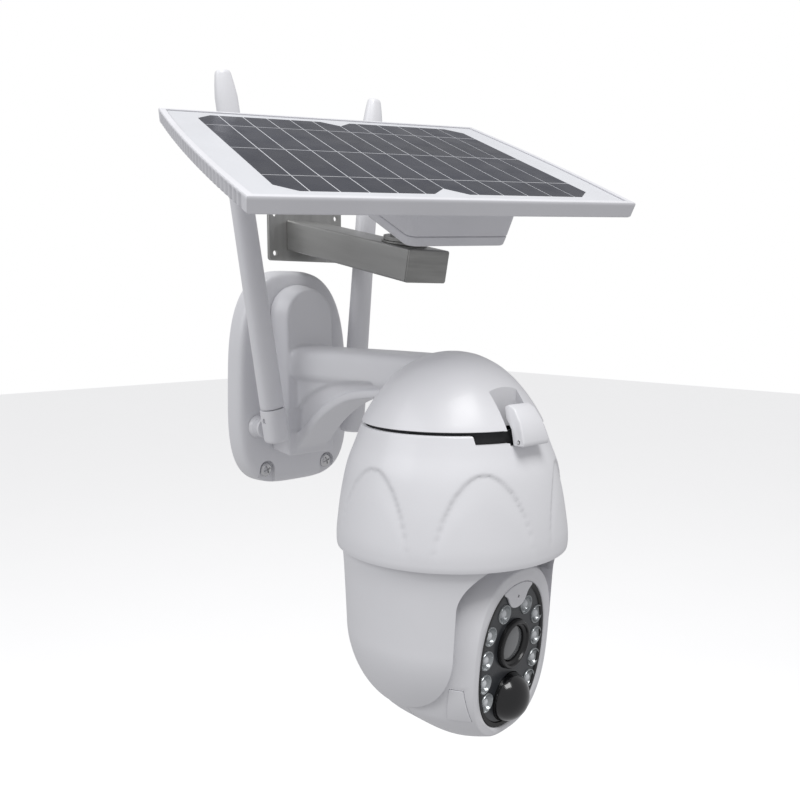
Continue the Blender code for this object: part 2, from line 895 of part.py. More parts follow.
def make_tilt_housing(finish, tilt):
    front_steps = (-8, -18, -27, -35, -40, -42.9)
    front = loft(
        "tilt_front",
        [module_section(y * MM) for y in front_steps],
        finish["white_plastic"],
        tilt,
    )
    front_inside = loft(
        "tilt_front_inside",
        [module_section(y * MM, 2.2 * MM) for y in (-6, -18, -27, -37.5)],
        parent=tilt,
    )
    window_hole = prism(
        "tilt_window_hole",
        window_outline(GAP),
        30 * MM,
        60 * MM,
        parent=tilt,
        place=along_front((0, 0, 0)),
    )
    cut(front, front_inside, window_hole)
    rear_steps = (-7.7, 0, 15, 27, 36, 43, 49, 52.6, 54.1)
    rear = loft(
        "tilt_rear",
        [module_section(y * MM) for y in rear_steps],
        finish["white_plastic"],
        tilt,
    )
    rear_inside = loft(
        "tilt_rear_inside",
        [module_section(y * MM, 2.4 * MM) for y in (-10, 0, 15, 27, 36, 43, 49)],
        parent=tilt,
    )
    axle_bore = prism(
        "tilt_axle_bore",
        circle(6.3 * MM, 20),
        -60 * MM,
        60 * MM,
        parent=tilt,
        place=along_x((0, 0, 0)),
    )
    cut(rear, rear_inside, axle_bore)


def window_outline(grow, count=28):
    """Outline of the dark window: an oval, squarer at its widest, with its middle below the lens."""
    return oval(
        WINDOW_HALF_WIDTH + grow, WINDOW_HALF_HEIGHT + grow, 2.3, count, (0, WINDOW_Z)
    )


def led_places():
    """Centres of the ten reflectors, in mirrored pairs round the lens."""
    right = ((10.3, 19.5), (22.2, 10.6), (23.4, -2.5), (23.4, -15.8), (20.3, -27.5))
    return [(side * x * MM, LENS_Z + z * MM) for x, z in right for side in (-1, 1)]


def dome_point(radius, height, share):
    """A point of the dome's outline, from its foot at share 0 to its crown at share 1."""
    angle = math.pi / 2 * share
    return (radius * math.cos(angle), 41.2 * MM + height * math.sin(angle))


def make_face(finish, tilt):
    facing = along_front((0, 0, 0))
    board = prism(
        "led_board", window_outline(-0.4 * MM), 36.2 * MM, 37.6 * MM, finish["led_board"], tilt, facing
    )
    lens_room = prism(
        "board_lens_room",
        circle(12.4 * MM, 24, (0, LENS_Z)),
        30 * MM,
        60 * MM,
        parent=tilt,
        place=facing,
    )
    pir_room = prism(
        "board_pir_room",
        circle(PIR_RADIUS + GAP, 24, (0, PIR_Z)),
        30 * MM,
        60 * MM,
        parent=tilt,
        place=facing,
    )
    for k, place in enumerate(led_places()):
        cup = prism(
            f"led_cup_{k + 1}",
            circle(5.3 * MM, 12, place),
            37.0 * MM,
            40.2 * MM,
            parent=tilt,
            place=facing,
        )
        join(board, cup)
    cut(board, lens_room, pir_room)
    window = prism(
        "front_window", window_outline(0), 40.5 * MM, 42.3 * MM, finish["smoked_window"], tilt, facing
    )
    lens_hole = prism(
        "window_lens_hole",
        circle(13.9 * MM, 28, (0, LENS_Z)),
        30 * MM,
        60 * MM,
        parent=tilt,
        place=facing,
    )
    pir_hole = prism(
        "window_pir_hole",
        circle(PIR_RADIUS + GAP, 24, (0, PIR_Z)),
        30 * MM,
        60 * MM,
        parent=tilt,
        place=facing,
    )
    mic_hole = prism(
        "window_mic_hole",
        circle(0.9 * MM, 12, (0, 35.5 * MM)),
        30 * MM,
        60 * MM,
        parent=tilt,
        place=facing,
    )
    cut(window, lens_hole, pir_hole, mic_hole)
    lens_place = Matrix.Translation((0, 0, LENS_Z)) @ facing
    turned(
        "lens_barrel",
        [
            (7.2 * MM, 22.0 * MM),
            (9.0 * MM, 22.0 * MM),
            (9.0 * MM, 32.0 * MM),
            (12.0 * MM, 33.5 * MM),
            (12.0 * MM, 39.8 * MM),
            (13.6 * MM, 41.0 * MM),
            (13.6 * MM, 43.6 * MM),
            (12.6 * MM, 44.6 * MM),
            (11.0 * MM, 44.2 * MM),
            (9.8 * MM, 42.0 * MM),
            (9.8 * MM, 38.0 * MM),
            (7.2 * MM, 38.0 * MM),
        ],
        finish["black_plastic"],
        tilt,
        segments=28,
        place=lens_place,
    )
    turned(
        "lens_glass",
        [
            (0, 38.3 * MM),
            (9.4 * MM, 38.3 * MM),
            (9.4 * MM, 40.4 * MM),
            (6.0 * MM, 41.3 * MM),
            (0, 41.8 * MM),
        ],
        finish["lens_glass"],
        tilt,
        segments=28,
        place=lens_place,
    )
    box(
        "sensor_board",
        (-16 * MM, -21.6 * MM, LENS_Z - 16 * MM),
        (16 * MM, -20 * MM, LENS_Z + 16 * MM),
        finish["circuit_board"],
        tilt,
    )
    dome = [(10.2 * MM, 30.4 * MM), (12.0 * MM, 30.4 * MM), (12.0 * MM, 35.0 * MM), (PIR_RADIUS, 37.9 * MM)]
    dome += [dome_point(PIR_RADIUS, 12.4 * MM, k / 6) for k in range(6)]
    dome += [(0, 53.6 * MM), (0, 51.8 * MM)]
    dome += [dome_point(PIR_RADIUS - 1.8 * MM, 10.4 * MM, k / 4) for k in range(3, -1, -1)]
    pir_place = Matrix.Translation((0, 0, PIR_Z)) @ facing
    turned("pir_dome", dome, finish["black_plastic"], tilt, segments=20, place=pir_place)
    turned(
        "pir_sensor",
        [(0, 24.0 * MM), (4.6 * MM, 24.0 * MM), (4.6 * MM, 40.0 * MM), (0, 40.0 * MM)],
        finish["motor_can"],
        tilt,
        segments=20,
        place=pir_place,
    )
    turned(
        "microphone",
        [(0, 31.0 * MM), (3.0 * MM, 31.0 * MM), (3.0 * MM, 35.8 * MM), (0, 35.8 * MM)],
        finish["motor_can"],
        tilt,
        segments=20,
        place=Matrix.Translation((0, 0, 35.5 * MM)) @ facing,
    )


def make_card_cover(finish, tilt):
    """The small raised cover of the card slot, low on the module's left side, in a hole of its own."""

    def wedge(name, grow):
        outline = [
            (-41.0 * MM - grow, -27 * MM - grow),
            (-31.0 * MM + grow, -27 * MM - grow),
            (-32.5 * MM + grow, -9 * MM + grow),
            (-38.5 * MM - grow, -9 * MM + grow),
        ]
        rings = [[(x, y, z) for y, z in outline] for x in (-60 * MM, -20 * MM)]
        return loft(name, rings, parent=tilt, smooth=False)

    steps = (-26, -35, -42.5)
    cover = loft(
        "card_cover",
        [module_section(y * MM, -0.4 * MM) for y in steps],
        finish["white_plastic"],
        tilt,
    )
    inside = loft(
        "card_cover_inside",
        [module_section(y * MM, 1.9 * MM) for y in (-20, -27, -35, -43)],
        parent=tilt,
    )
    boolean(cover, wedge("card_cover_edge", 0.0), "INTERSECT")
    cut(cover, inside)
    cut(bpy.data.objects["tilt_front"], wedge("card_slot", GAP))


def make_tilt_drive(finish, pan, tilt):
    """A gear fixed to the left cheek, a pivot pin in the right one, and the motor inside the module."""
    hinge = Matrix.Translation((0, 0, TILT_Z))
    gear = prism(
        "tilt_gear",
        gear_outline(TILT_TEETH, GEAR_MODULE),
        -42.0 * MM,
        -37.0 * MM,
        finish["gear_plastic"],
        pan,
        hinge @ along_x((0, 0, 0)),
        smooth=False,
    )
    shaft = prism(
        "tilt_gear_shaft", circle(
            6.0 * MM, 20
        ), -45.9 * MM, -41.0 * MM, parent=pan, place=hinge @ along_x((0, 0, 0))
    )
    tail = prism(
        "tilt_gear_tail", circle(
            4.0 * MM, 20
        ), -50.0 * MM, -44.0 * MM, parent=pan, place=hinge @ along_x((0, 0, 0))
    )
    join(gear, shaft, tail)
    pivot = prism(
        "tilt_pivot", circle(
            6.0 * MM, 20
        ), 38.0 * MM, 45.9 * MM, finish["steel"], pan, hinge @ along_x((0, 0, 0))
    )
    pivot_tail = prism(
        "tilt_pivot_tail", circle(
            4.0 * MM, 20
        ), 44.0 * MM, 50.0 * MM, parent=pan, place=hinge @ along_x((0, 0, 0))
    )
    join(pivot, pivot_tail)
    reach = (TILT_TEETH + TILT_PINION_TEETH) / 2 * GEAR_MODULE
    spot = Matrix.Translation((0, reach, 0))
    towards = math.radians(90 + TILT_AT_REST)
    turn = pinion_phase(TILT_TEETH, TILT_PINION_TEETH, towards, 0.0) - math.radians(TILT_AT_REST)
    pinion = prism(
        "tilt_pinion",
        gear_outline(TILT_PINION_TEETH, GEAR_MODULE),
        -41.8 * MM,
        -37.0 * MM,
        finish["brass"],
        tilt,
        spot @ along_x((0, 0, 0)) @ Matrix.Rotation(turn, 4, "Z"),
        smooth=False,
    )
    pinion_shaft = prism(
        "tilt_pinion_shaft", circle(
            2.0 * MM, 16
        ), -38.0 * MM, -33.4 * MM, parent=tilt, place=spot @ along_x((0, 0, 0))
    )
    join(pinion, pinion_shaft)
    prism(
        "tilt_motor",
        circle(12.0 * MM, 24),
        -33.0 * MM,
        -14.0 * MM,
        finish["motor_can"],
        tilt,
        spot @ along_x((0, 0, 0)),
    )


def tube_frame():
    """Frame of the raked tube: X as the world's, Y up its slope to the wall, Z out of its top."""
    rake = math.radians(TUBE_RAKE)
    turn = Matrix.Rotation(rake, 4, "X")
    return Matrix.Translation((TUBE_X, 0, TUBE_Z)) @ turn


def make_bracket(finish):
    flange = prism(
        "bracket_flange",
        rounded_box_outline(FLANGE_WIDTH / 2, FLANGE_HEIGHT / 2, 2.0 * MM),
        0,
        FLANGE_THICKNESS,
        finish["steel"],
        place=along_front((TUBE_X, 0, TUBE_Z)),
    )
    for sx in (-1, 1):
        for sz in (-1, 1):
            hole = prism(
                f"flange_hole_{sx}_{sz}",
                circle(1.7 * MM, 16),
                -2 * MM,
                6 * MM,
                place=along_front(
                    (
                        TUBE_X + sx * (FLANGE_WIDTH / 2 - 5 * MM),
                        0,
                        TUBE_Z + sz * (FLANGE_HEIGHT / 2 - 5 * MM),
                    )
                ),
            )
            cut(flange, hole)
    slope = empty("tube_axis", tube_frame())
    half_x = TUBE_WIDTH / 2
    half_z = TUBE_HEIGHT / 2
    front = -TUBE_REACH / math.cos(math.radians(TUBE_RAKE))
    wall = 1.6 * MM
    tube = loft(
        "bracket_tube",
        [
            [(x, y, z) for x, z in rounded_box_outline(half_x, half_z, 1.4 * MM, steps=2)]
            for y in (front, 10 * MM)
        ],
        finish["steel"],
        slope,
        smooth=False,
    )
    inside = loft(
        "tube_inside",
        [
            [(x, y, z) for x, z in rounded_box_outline(half_x - wall, half_z - wall, 0.6 * MM, steps=1)]
            for y in (front - 5 * MM, 20 * MM)
        ],
        parent=slope,
    )
    wall_side = box(
        "tube_wall_side", (-60 * MM, -FLANGE_THICKNESS - GAP, 0), (90 * MM, 40 * MM, 180 * MM)
    )
    cut(tube, inside, wall_side)
    plug = loft(
        "tube_plug",
        [
            [(x, y, z) for x, z in rounded_box_outline(half_x - shrink, half_z - shrink, 1.2 * MM, steps=2)]
            for y, shrink in ((front - 1.6 * MM, 0.3 * MM), (front - GAP, 0.0))
        ],
        finish["steel"],
        slope,
        smooth=False,
    )
    plug_body = loft(
        "plug_body",
        [
            [
                (x, y, z)
                for x, z in rounded_box_outline(half_x - wall - GAP, half_z - wall - GAP, 0.6 * MM, steps=1)
            ]
            for y in (front - 0.8 * MM, front + 9 * MM)
        ],
        parent=slope,
    )
    join(plug, plug_body)
    return slope, front


def panel_frame_matrix():
    """X along the panel's long side, Y up its slope, Z out of its cells."""
    yaw, tilt, roll = (math.radians(a) for a in (PANEL_YAW, PANEL_TILT, PANEL_ROLL))
    turn = Matrix.Rotation(-yaw, 3, "Z") @ Matrix.Rotation(tilt, 3, "X") @ Matrix.Rotation(-roll, 3, "Y")
    return Matrix.Translation(PANEL_CENTRE) @ turn.to_4x4()


def knuckle_matrix(slope_matrix, front):
    """Seat of the swivel: on the tube's top, with X along the panel's long side."""
    seat = slope_matrix @ Vector((0, front + KNUCKLE_BACK, TUBE_HEIGHT / 2))
    long_side = panel_frame_matrix().to_3x3() @ Vector((1, 0, 0))
    up = slope_matrix.to_3x3() @ Vector((0, 0, 1))
    up = (up - up.dot(long_side) * long_side).normalized()
    back = up.cross(long_side)
    turn = Matrix((long_side, back, up)).transposed().to_4x4()
    return Matrix.Translation(seat) @ turn


def make_knuckle(finish, slope, front):
    frame = knuckle_matrix(tube_frame(), front)
    swivel = empty("panel_swivel_axis", frame)
    shoe = prism("swivel_shoe", circle(14 * MM, 24), -4 * MM, 2.4 * MM, finish["steel"], swivel)
    below = box(
        "shoe_underside",
        (-40 * MM, front - 20 * MM, -30 * MM),
        (40 * MM, 0, TUBE_HEIGHT / 2 + GAP),
        parent=slope,
    )
    cut(shoe, below)
    disc = prism("swivel_disc", circle(13 * MM, 24), 2.7 * MM, 4.9 * MM, finish["steel"], swivel)
    for side in (-1, 1):
        ear = box(
            f"swivel_ear_{side}",
            (min(side * 5.2, side * 7.6) * MM, -4.5 * MM, 4 * MM),
            (max(side * 5.2, side * 7.6) * MM, 4.5 * MM, PIN_HEIGHT + 3.6 * MM),
            parent=swivel,
        )
        join(disc, ear)
    hole = prism(
        "ear_pin_hole",
        circle(2.1 * MM, 20),
        -15 * MM,
        15 * MM,
        parent=swivel,
        place=along_x((0, 0, PIN_HEIGHT)),
    )
    cut(disc, hole)
    prism(
        "tilt_pin",
        circle(1.8 * MM, 20),
        -9 * MM,
        9 * MM,
        finish["screw_steel"],
        swivel,
        along_x((0, 0, PIN_HEIGHT)),
    )
    return frame @ Vector((0, 0, PIN_HEIGHT))


def panel_outline(inset, count=10):
    """The panel's outline: straight long sides and short ends that bow outwards."""
    half_u = PANEL_LENGTH / 2 - inset
    half_v = PANEL_WIDTH / 2 - inset
    points = []
    for side in (1, -1):
        for k in range(count + 1):
            share = -1 + 2 * k / count
            points.append((side * (half_u + PANEL_BULGE * (1 - share**2)), side * share * half_v))
    return points


def make_panel(finish, pin_at):
    frame = panel_frame_matrix()
    back = empty("panel_axis", frame)
    shell = loft(
        "panel_frame",
        [
            [(u, v, h * MM) for u, v in panel_outline(inset * MM)]
            for h, inset in ((-8.2, 2.0), (-6.8, 0.4), (-1.0, 0.0), (0.0, 0.8))
        ],
        finish["white_plastic"],
        back,
        smooth=False,
    )
    rebate = prism("panel_rebate", panel_outline(4.0 * MM), -3.0 * MM, 3 * MM, parent=back)
    wiring = box(
        "panel_wiring_hole",
        ((BOX_U / MM - 6) * MM, (BOX_V / MM - 4) * MM, -12 * MM),
        (BOX_U + 6 * MM, BOX_V + 4 * MM, 0),
        parent=back,
    )
    cut(shell, rebate, wiring)
    prism("solar_laminate", panel_outline(4.3 * MM), -2.7 * MM, -0.4 * MM, finish["solar_cells"], back)

    def box_ring(share, h, inset=0.0):
        half_u = BOX_BOTTOM_HALF[0] + (BOX_TOP_HALF[0] - BOX_BOTTOM_HALF[0]) * share - inset
        half_v = BOX_BOTTOM_HALF[1] + (BOX_TOP_HALF[1] - BOX_BOTTOM_HALF[1]) * share - inset
        outline = rounded_box_outline(half_u, half_v, 9 * MM - min(inset, 4 * MM), (BOX_U, BOX_V))
        return [(u, v, h) for u, v in outline]

    top = -PANEL_THICKNESS - GAP
    tall = top - BOX_BOTTOM
    case = loft(
        "battery_case",
        [box_ring((h - BOX_BOTTOM) / tall, h) for h in (LID_TOP + GAP, -30 * MM, top)],
        finish["white_plastic"],
        back,
    )
    case_inside = loft(
        "case_inside",
        [
            box_ring((h - BOX_BOTTOM) / tall, h, 2.4 * MM)
            for h in (LID_TOP - 2 * MM, -30 * MM, top - 2.4 * MM)
        ],
        parent=back,
    )
    case_wire = box(
        "case_wire_hole",
        (BOX_U - 6 * MM, BOX_V - 4 * MM, -14 * MM),
        (BOX_U + 6 * MM, BOX_V + 4 * MM, 0),
        parent=back,
    )
    cut(case, case_inside, case_wire)
    lid = loft(
        "battery_lid",
        [
            box_ring(-0.06, BOX_BOTTOM),
            box_ring(0.0, BOX_BOTTOM + 1.2 * MM),
            box_ring((LID_TOP - BOX_BOTTOM) / tall, LID_TOP),
        ],
        finish["white_plastic"],
        back,
    )
    pin = frame.inverted() @ pin_at
    cup = box(
        "lid_cup",
        (pin.x - 14 * MM, pin.y - 15 * MM, LID_TOP - 1 * MM),
        (pin.x + 14 * MM, pin.y + 15 * MM, -34 * MM),
        parent=back,
    )
    pocket = box(
        "lid_pocket",
        (pin.x - 11 * MM, pin.y - 12.5 * MM, -60 * MM),
        (pin.x + 11 * MM, pin.y + 12.5 * MM, -36 * MM),
        parent=back,
    )
    tongue = box(
        "lid_tongue",
        (pin.x - 4.8 * MM, pin.y - 4 * MM, pin.z - 3.6 * MM),
        (pin.x + 4.8 * MM, pin.y + 4 * MM, -35 * MM),
        parent=back,
    )
    pin_hole = prism("lid_pin_hole", circle(2.1 * MM, 20), -9 * MM, 9 * MM, parent=back, place=along_x(pin))
    join(lid, cup)
    cut(lid, pocket)
    join(lid, tongue)
    cut(lid, pin_hole)
    box(
        "charge_board",
        (BOX_U - 30 * MM, BOX_V - 14 * MM, -13.2 * MM),
        (BOX_U + 30 * MM, BOX_V + 28 * MM, -11.8 * MM),
        finish["circuit_board"],
        back,
    )
    for k in range(2):
        turned(
            f"panel_cell_{k + 1}",
            [(0, -32.5 * MM), (9.0 * MM, -32.5 * MM), (9.0 * MM, 32.5 * MM), (0, 32.5 * MM)],
            finish["battery_sleeve"],
            back,
            segments=20,
            place=along_x((BOX_U, BOX_V + (k * 19.4 - 9.7) * MM, -24 * MM)),
        )


def build():
    clear_scene()
    finish = {name: material(name, *look) for name, look in FINISHES.items()}
    make_wall_plate(finish)
    make_plate_screws(finish)
    make_arm(finish)
    make_antenna(-1, "left", LEFT_LEAN, finish)
    make_antenna(1, "right", RIGHT_LEAN, finish)
    make_cap(finish)
    make_shell(finish)
    make_latch(finish)
    make_head_inside(finish)
    pan_turn = Matrix.Rotation(math.radians(PAN_AT_REST), 4, "Z")
    pan = empty("pan_axis", Matrix.Translation((0, HEAD_Y, 0)) @ pan_turn)
    tilt_turn = Matrix.Rotation(math.radians(TILT_AT_REST), 4, "X")
    tilt = empty("tilt_axis", Matrix.Translation((0, 0, TILT_Z)) @ tilt_turn, pan)
    make_pan_bowl(finish, pan)
    make_pan_gears(finish, pan)
    make_tilt_housing(finish, tilt)
    make_face(finish, tilt)
    make_card_cover(finish, tilt)
    make_tilt_drive(finish, pan, tilt)
    slope, front = make_bracket(finish)
    pin_at = make_knuckle(finish, slope, front)
    make_panel(finish, pin_at)


build()
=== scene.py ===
"""Looks for the solar-powered security camera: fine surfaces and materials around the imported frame."""

import json
import math

import bmesh
import bpy
from mathutils import Matrix, Vector


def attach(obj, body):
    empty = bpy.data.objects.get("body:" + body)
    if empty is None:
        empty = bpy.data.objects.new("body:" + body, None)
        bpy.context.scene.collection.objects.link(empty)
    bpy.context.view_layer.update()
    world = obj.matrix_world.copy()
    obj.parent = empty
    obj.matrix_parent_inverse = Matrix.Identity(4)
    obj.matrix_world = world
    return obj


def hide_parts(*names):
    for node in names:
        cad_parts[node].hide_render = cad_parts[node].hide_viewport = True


MM = 0.001
GAP = 0.3  # millimetres left between pieces that touch
WALL = 2.4  # millimetres of moulded wall

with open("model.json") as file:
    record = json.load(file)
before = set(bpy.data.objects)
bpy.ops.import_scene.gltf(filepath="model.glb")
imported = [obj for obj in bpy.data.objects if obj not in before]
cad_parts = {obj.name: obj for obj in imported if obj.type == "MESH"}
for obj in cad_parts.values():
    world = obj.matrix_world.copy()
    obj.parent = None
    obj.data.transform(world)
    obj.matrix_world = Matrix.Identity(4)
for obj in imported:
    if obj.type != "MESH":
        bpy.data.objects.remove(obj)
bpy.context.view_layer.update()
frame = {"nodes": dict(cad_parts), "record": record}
nodes = frame["nodes"]


# Shape helpers


def finish_mesh(name, data, material, smooth=True, sharp=35, place=None):
    bmesh.ops.remove_doubles(data, verts=data.verts, dist=1e-7)
    bmesh.ops.recalc_face_normals(data, faces=data.faces)
    mesh = bpy.data.meshes.new(name)
    data.to_mesh(mesh)
    data.free()
    obj = bpy.data.objects.new(name, mesh)
    bpy.context.scene.collection.objects.link(obj)
    if place is not None:
        obj.matrix_world = place
    if material:
        mesh.materials.append(material)
    if smooth:
        mesh.shade_smooth()
        mesh.set_sharp_from_angle(angle=math.radians(sharp))
    return obj


def loft(name, rings, material=None, place=None, sharp=35, smooth=True):
    data = bmesh.new()
    loops = [[data.verts.new(point) for point in ring] for ring in rings]
    count = len(loops[0])
    for lower, upper in zip(loops, loops[1:]):
        for i in range(count):
            j = (i + 1) % count
            data.faces.new((lower[i], lower[j], upper[j], upper[i]))
    data.faces.new(list(reversed(loops[0])))
    data.faces.new(loops[-1])
    return finish_mesh(name, data, material, smooth, sharp, place)


def turned(name, profile, material=None, segments=96, place=None, sharp=35, shape=None):
    """A solid of revolution from a closed outline of (radius, z). shape moves a point at an angle."""
    data = bmesh.new()
    axis = [data.verts.new((0, 0, z)) if r == 0 else None for r, z in profile]
    rings = []
    for k in range(segments):
        angle = 2 * math.pi * k / segments
        ring = []
        for (r, z), centre in zip(profile, axis):
            if centre:
                ring.append(centre)
                continue
            if shape:
                r, z = shape(r, z, angle)
            ring.append(data.verts.new((r * math.cos(angle), r * math.sin(angle), z)))
        rings.append(ring)
    count = len(profile)
    for k in range(segments):
        here, there = rings[k], rings[(k + 1) % segments]
        for i in range(count):
            j = (i + 1) % count
            corners = []
            for corner in (here[i], there[i], there[j], here[j]):
                if corner not in corners:
                    corners.append(corner)
            if len(corners) > 2:
                data.faces.new(corners)
    return finish_mesh(name, data, material, True, sharp, place)


def prism(name, outline, low, high, material=None, place=None, smooth=True):
    rings = [[(x, y, z) for x, y in outline] for z in (low, high)]
    return loft(name, rings, material, place, smooth=smooth)


def box(name, low, high, material=None, place=None):
    outline = [(low[0], low[1]), (high[0], low[1]), (high[0], high[1]), (low[0], high[1])]
    return prism(name, outline, low[2], high[2], material, place, smooth=False)


def circle(radius, count=48, centre=(0.0, 0.0)):
    return [
        (
            centre[0] + radius * math.cos(2 * math.pi * k / count),
            centre[1] + radius * math.sin(2 * math.pi * k / count),
        )
        for k in range(count)
    ]


def rounded(value, power):
    return math.copysign(abs(value) ** (2 / power), value)


def oval(half_x, half_y, power=2.0, count=64, centre=(0.0, 0.0)):
    return [
        (
            centre[0] + half_x * rounded(math.cos(2 * math.pi * k / count), power),
            centre[1] + half_y * rounded(math.sin(2 * math.pi * k / count), power),
        )
        for k in range(count)
    ]


def rounded_box_outline(half_x, half_y, radius, centre=(0.0, 0.0), steps=8):
    points = []
    for turn, (sx, sy) in enumerate(((1, 1), (-1, 1), (-1, -1), (1, -1))):
        for k in range(steps + 1):
            angle = math.pi / 2 * (turn + k / steps)
            x = sx * (half_x - radius) + radius * math.cos(angle)
            y = sy * (half_y - radius) + radius * math.sin(angle)
            points.append((centre[0] + x, centre[1] + y))
    return points


def curve_through(points, steps=6):
    """A smooth curve through the points, as more points."""
    made = []
    last = len(points) - 1
    for i in range(last):
        p0, p1, p2, p3 = (Vector(points[max(0, min(last, i + k))]) for k in (-1, 0, 1, 2))
        for k in range(steps):
            t = k / steps
            made.append(
                0.5
                * (
                    2 * p1
                    + (p2 - p0) * t
                    + (2 * p0 - 5 * p1 + 4 * p2 - p3) * t**2
                    + (3 * p1 - p0 - 3 * p2 + p3) * t**3
                )
            )
    made.append(Vector(points[-1]))
    return made


def boolean(obj, other, operation):
    change = obj.modifiers.new("boolean", "BOOLEAN")
    change.operation = operation
    change.object = other
    change.solver = "EXACT"
    return obj


def bake(obj):
    """Applies an object's modifiers and removes the helpers that they used."""
    bpy.context.view_layer.update()
    helpers = [m.object for m in obj.modifiers if m.type == "BOOLEAN"]
    graph = bpy.context.evaluated_depsgraph_get()
    mesh = bpy.data.meshes.new_from_object(obj.evaluated_get(graph), depsgraph=graph)
    obj.modifiers.clear()
    old = obj.data
    obj.data = mesh
    bpy.data.meshes.remove(old)
    for helper in helpers:
        bpy.data.objects.remove(helper)
    return obj


def cut(obj, *others, sharp=35):
    for other in others:
        boolean(obj, other, "DIFFERENCE")
    bake(obj)
    shade(obj, sharp)
    return obj


def bevel(obj, width, segments=3, angle=35):
    change = obj.modifiers.new("bevel", "BEVEL")
    change.width = width
    change.segments = segments
    change.limit_method = "ANGLE"
    change.angle_limit = math.radians(angle)
    bake(obj)
    shade(obj, 50)
    return obj


def joined(name, objects, material=None):
    """Several objects as one, with their places applied."""
    data = bmesh.new()
    materials = []
    for obj in objects:
        bpy.context.view_layer.update()
        mesh = obj.data.copy()
        mesh.transform(obj.matrix_world)
        offset = len(materials)
        materials.extend(mesh.materials)
        start = len(data.faces)
        data.from_mesh(mesh)
        data.faces.ensure_lookup_table()
        for face in data.faces[start:]:
            face.material_index += offset
        bpy.data.meshes.remove(mesh)
        bpy.data.objects.remove(obj)
    mesh = bpy.data.meshes.new(name)
    data.to_mesh(mesh)
    data.free()
    for made in [material] if material else materials:
        mesh.materials.append(made)
    obj = bpy.data.objects.new(name, mesh)
    bpy.context.scene.collection.objects.link(obj)
    return obj


def along_x(centre):
    return Matrix.Translation(centre) @ Matrix.Rotation(math.pi / 2, 4, "Y")


def along_front(centre):
    return Matrix.Translation(centre) @ Matrix.Rotation(math.pi / 2, 4, "X")


def in_mm(points):
    return [(a * MM, b * MM) for a, b in points]


def shade(obj, sharp):
    obj.data.shade_smooth()
    obj.data.set_sharp_from_angle(angle=math.radians(sharp))


def smoothstep(value):
    value = max(0.0, min(1.0, value))
    return value * value * (3 - 2 * value)


def stands_for(obj, body, slot, *replaced):
    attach(obj, body)
    if replaced:
        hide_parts(*replaced)
    return obj


# Materials


def new_material(name):
    made = bpy.data.materials.new(name)
    made.use_nodes = True
    return made, made.node_tree, made.node_tree.nodes["Principled BSDF"]


def add_noise(tree, scale, detail=4.0, stretch=(1, 1, 1)):
    place = tree.nodes.new("ShaderNodeTexCoord")
    mapping = tree.nodes.new("ShaderNodeMapping")
    mapping.inputs["Scale"].default_value = stretch
    made = tree.nodes.new("ShaderNodeTexNoise")
    made.inputs["Scale"].default_value = scale
    made.inputs["Detail"].default_value = detail
    tree.links.new(place.outputs["Object"], mapping.inputs["Vector"])
    tree.links.new(mapping.outputs["Vector"], made.inputs["Vector"])
    return made.outputs["Fac"]


def vary_color(tree, shader, fac, color, spread):
    ramp = tree.nodes.new("ShaderNodeValToRGB")
    ramp.color_ramp.elements[0].position = 0.3
    ramp.color_ramp.elements[1].position = 0.7
    ramp.color_ramp.elements[0].color = (*[max(0.0, c * (1 - spread)) for c in color], 1)
    ramp.color_ramp.elements[1].color = (*[min(1.0, c * (1 + spread)) for c in color], 1)
    tree.links.new(fac, ramp.inputs["Fac"])
    tree.links.new(ramp.outputs["Color"], shader.inputs["Base Color"])


def vary_roughness(tree, shader, fac, low, high):
    spread = tree.nodes.new("ShaderNodeMapRange")
    spread.inputs["From Min"].default_value = 0.3
    spread.inputs["From Max"].default_value = 0.7
    spread.inputs["To Min"].default_value = low
    spread.inputs["To Max"].default_value = high
    tree.links.new(fac, spread.inputs["Value"])
    tree.links.new(spread.outputs["Result"], shader.inputs["Roughness"])


def add_bump(tree, shader, fac, distance, strength=1.0):
    made = tree.nodes.new("ShaderNodeBump")
    made.inputs["Distance"].default_value = distance
    made.inputs["Strength"].default_value = strength
    tree.links.new(fac, made.inputs["Height"])
    tree.links.new(made.outputs["Normal"], shader.inputs["Normal"])


def plain(name, color, rough, spread=0.03, cloud=28.0, grain=900.0, depth=0.00002, metallic=0.0,
          coat=0.0, stretch=(1, 1, 1), specular=0.5):
    """A moulded or metal surface: faint clouds in its colour, uneven gloss, and a fine grain."""
    made, tree, shader = new_material(name)
    shader.inputs["Metallic"].default_value = metallic
    shader.inputs["Coat Weight"].default_value = coat
    shader.inputs["Coat Roughness"].default_value = 0.08
    shader.inputs["Specular IOR Level"].default_value = specular
    vary_color(tree, shader, add_noise(tree, cloud, 3.0, stretch), color, spread)
    vary_roughness(tree, shader, add_noise(tree, cloud * 3, 5.0, stretch), rough * 0.85, rough * 1.18)
    add_bump(tree, shader, add_noise(tree, grain, 3.0, stretch), depth)
    return made


WHITE = plain("white_shell_plastic", (0.80, 0.80, 0.825), 0.36, spread=0.012, coat=0.12)
WHITE_MATT = plain("white_satin_plastic", (0.80, 0.80, 0.82), 0.46, spread=0.015, depth=0.00004)
FRAME_WHITE = plain("panel_frame_plastic", (0.74, 0.74, 0.77), 0.42, spread=0.02)
RUBBER = plain("seam_rubber", (0.03, 0.03, 0.033), 0.75, spread=0.2, depth=0.00005)
BRUSHED = plain("brushed_bracket_steel", (0.40, 0.40, 0.39), 0.38, spread=0.08, cloud=12, grain=260,
                depth=0.00004, metallic=0.85, stretch=(14, 1, 14))
END_STEEL = plain("brushed_end_steel", (0.34, 0.34, 0.33), 0.40, spread=0.14, cloud=20, grain=300,
                  depth=0.00005, metallic=0.85, stretch=(1, 4, 12))
SCREW = plain("polished_screw_steel", (0.70, 0.70, 0.71), 0.20, spread=0.08, metallic=1.0, cloud=200)
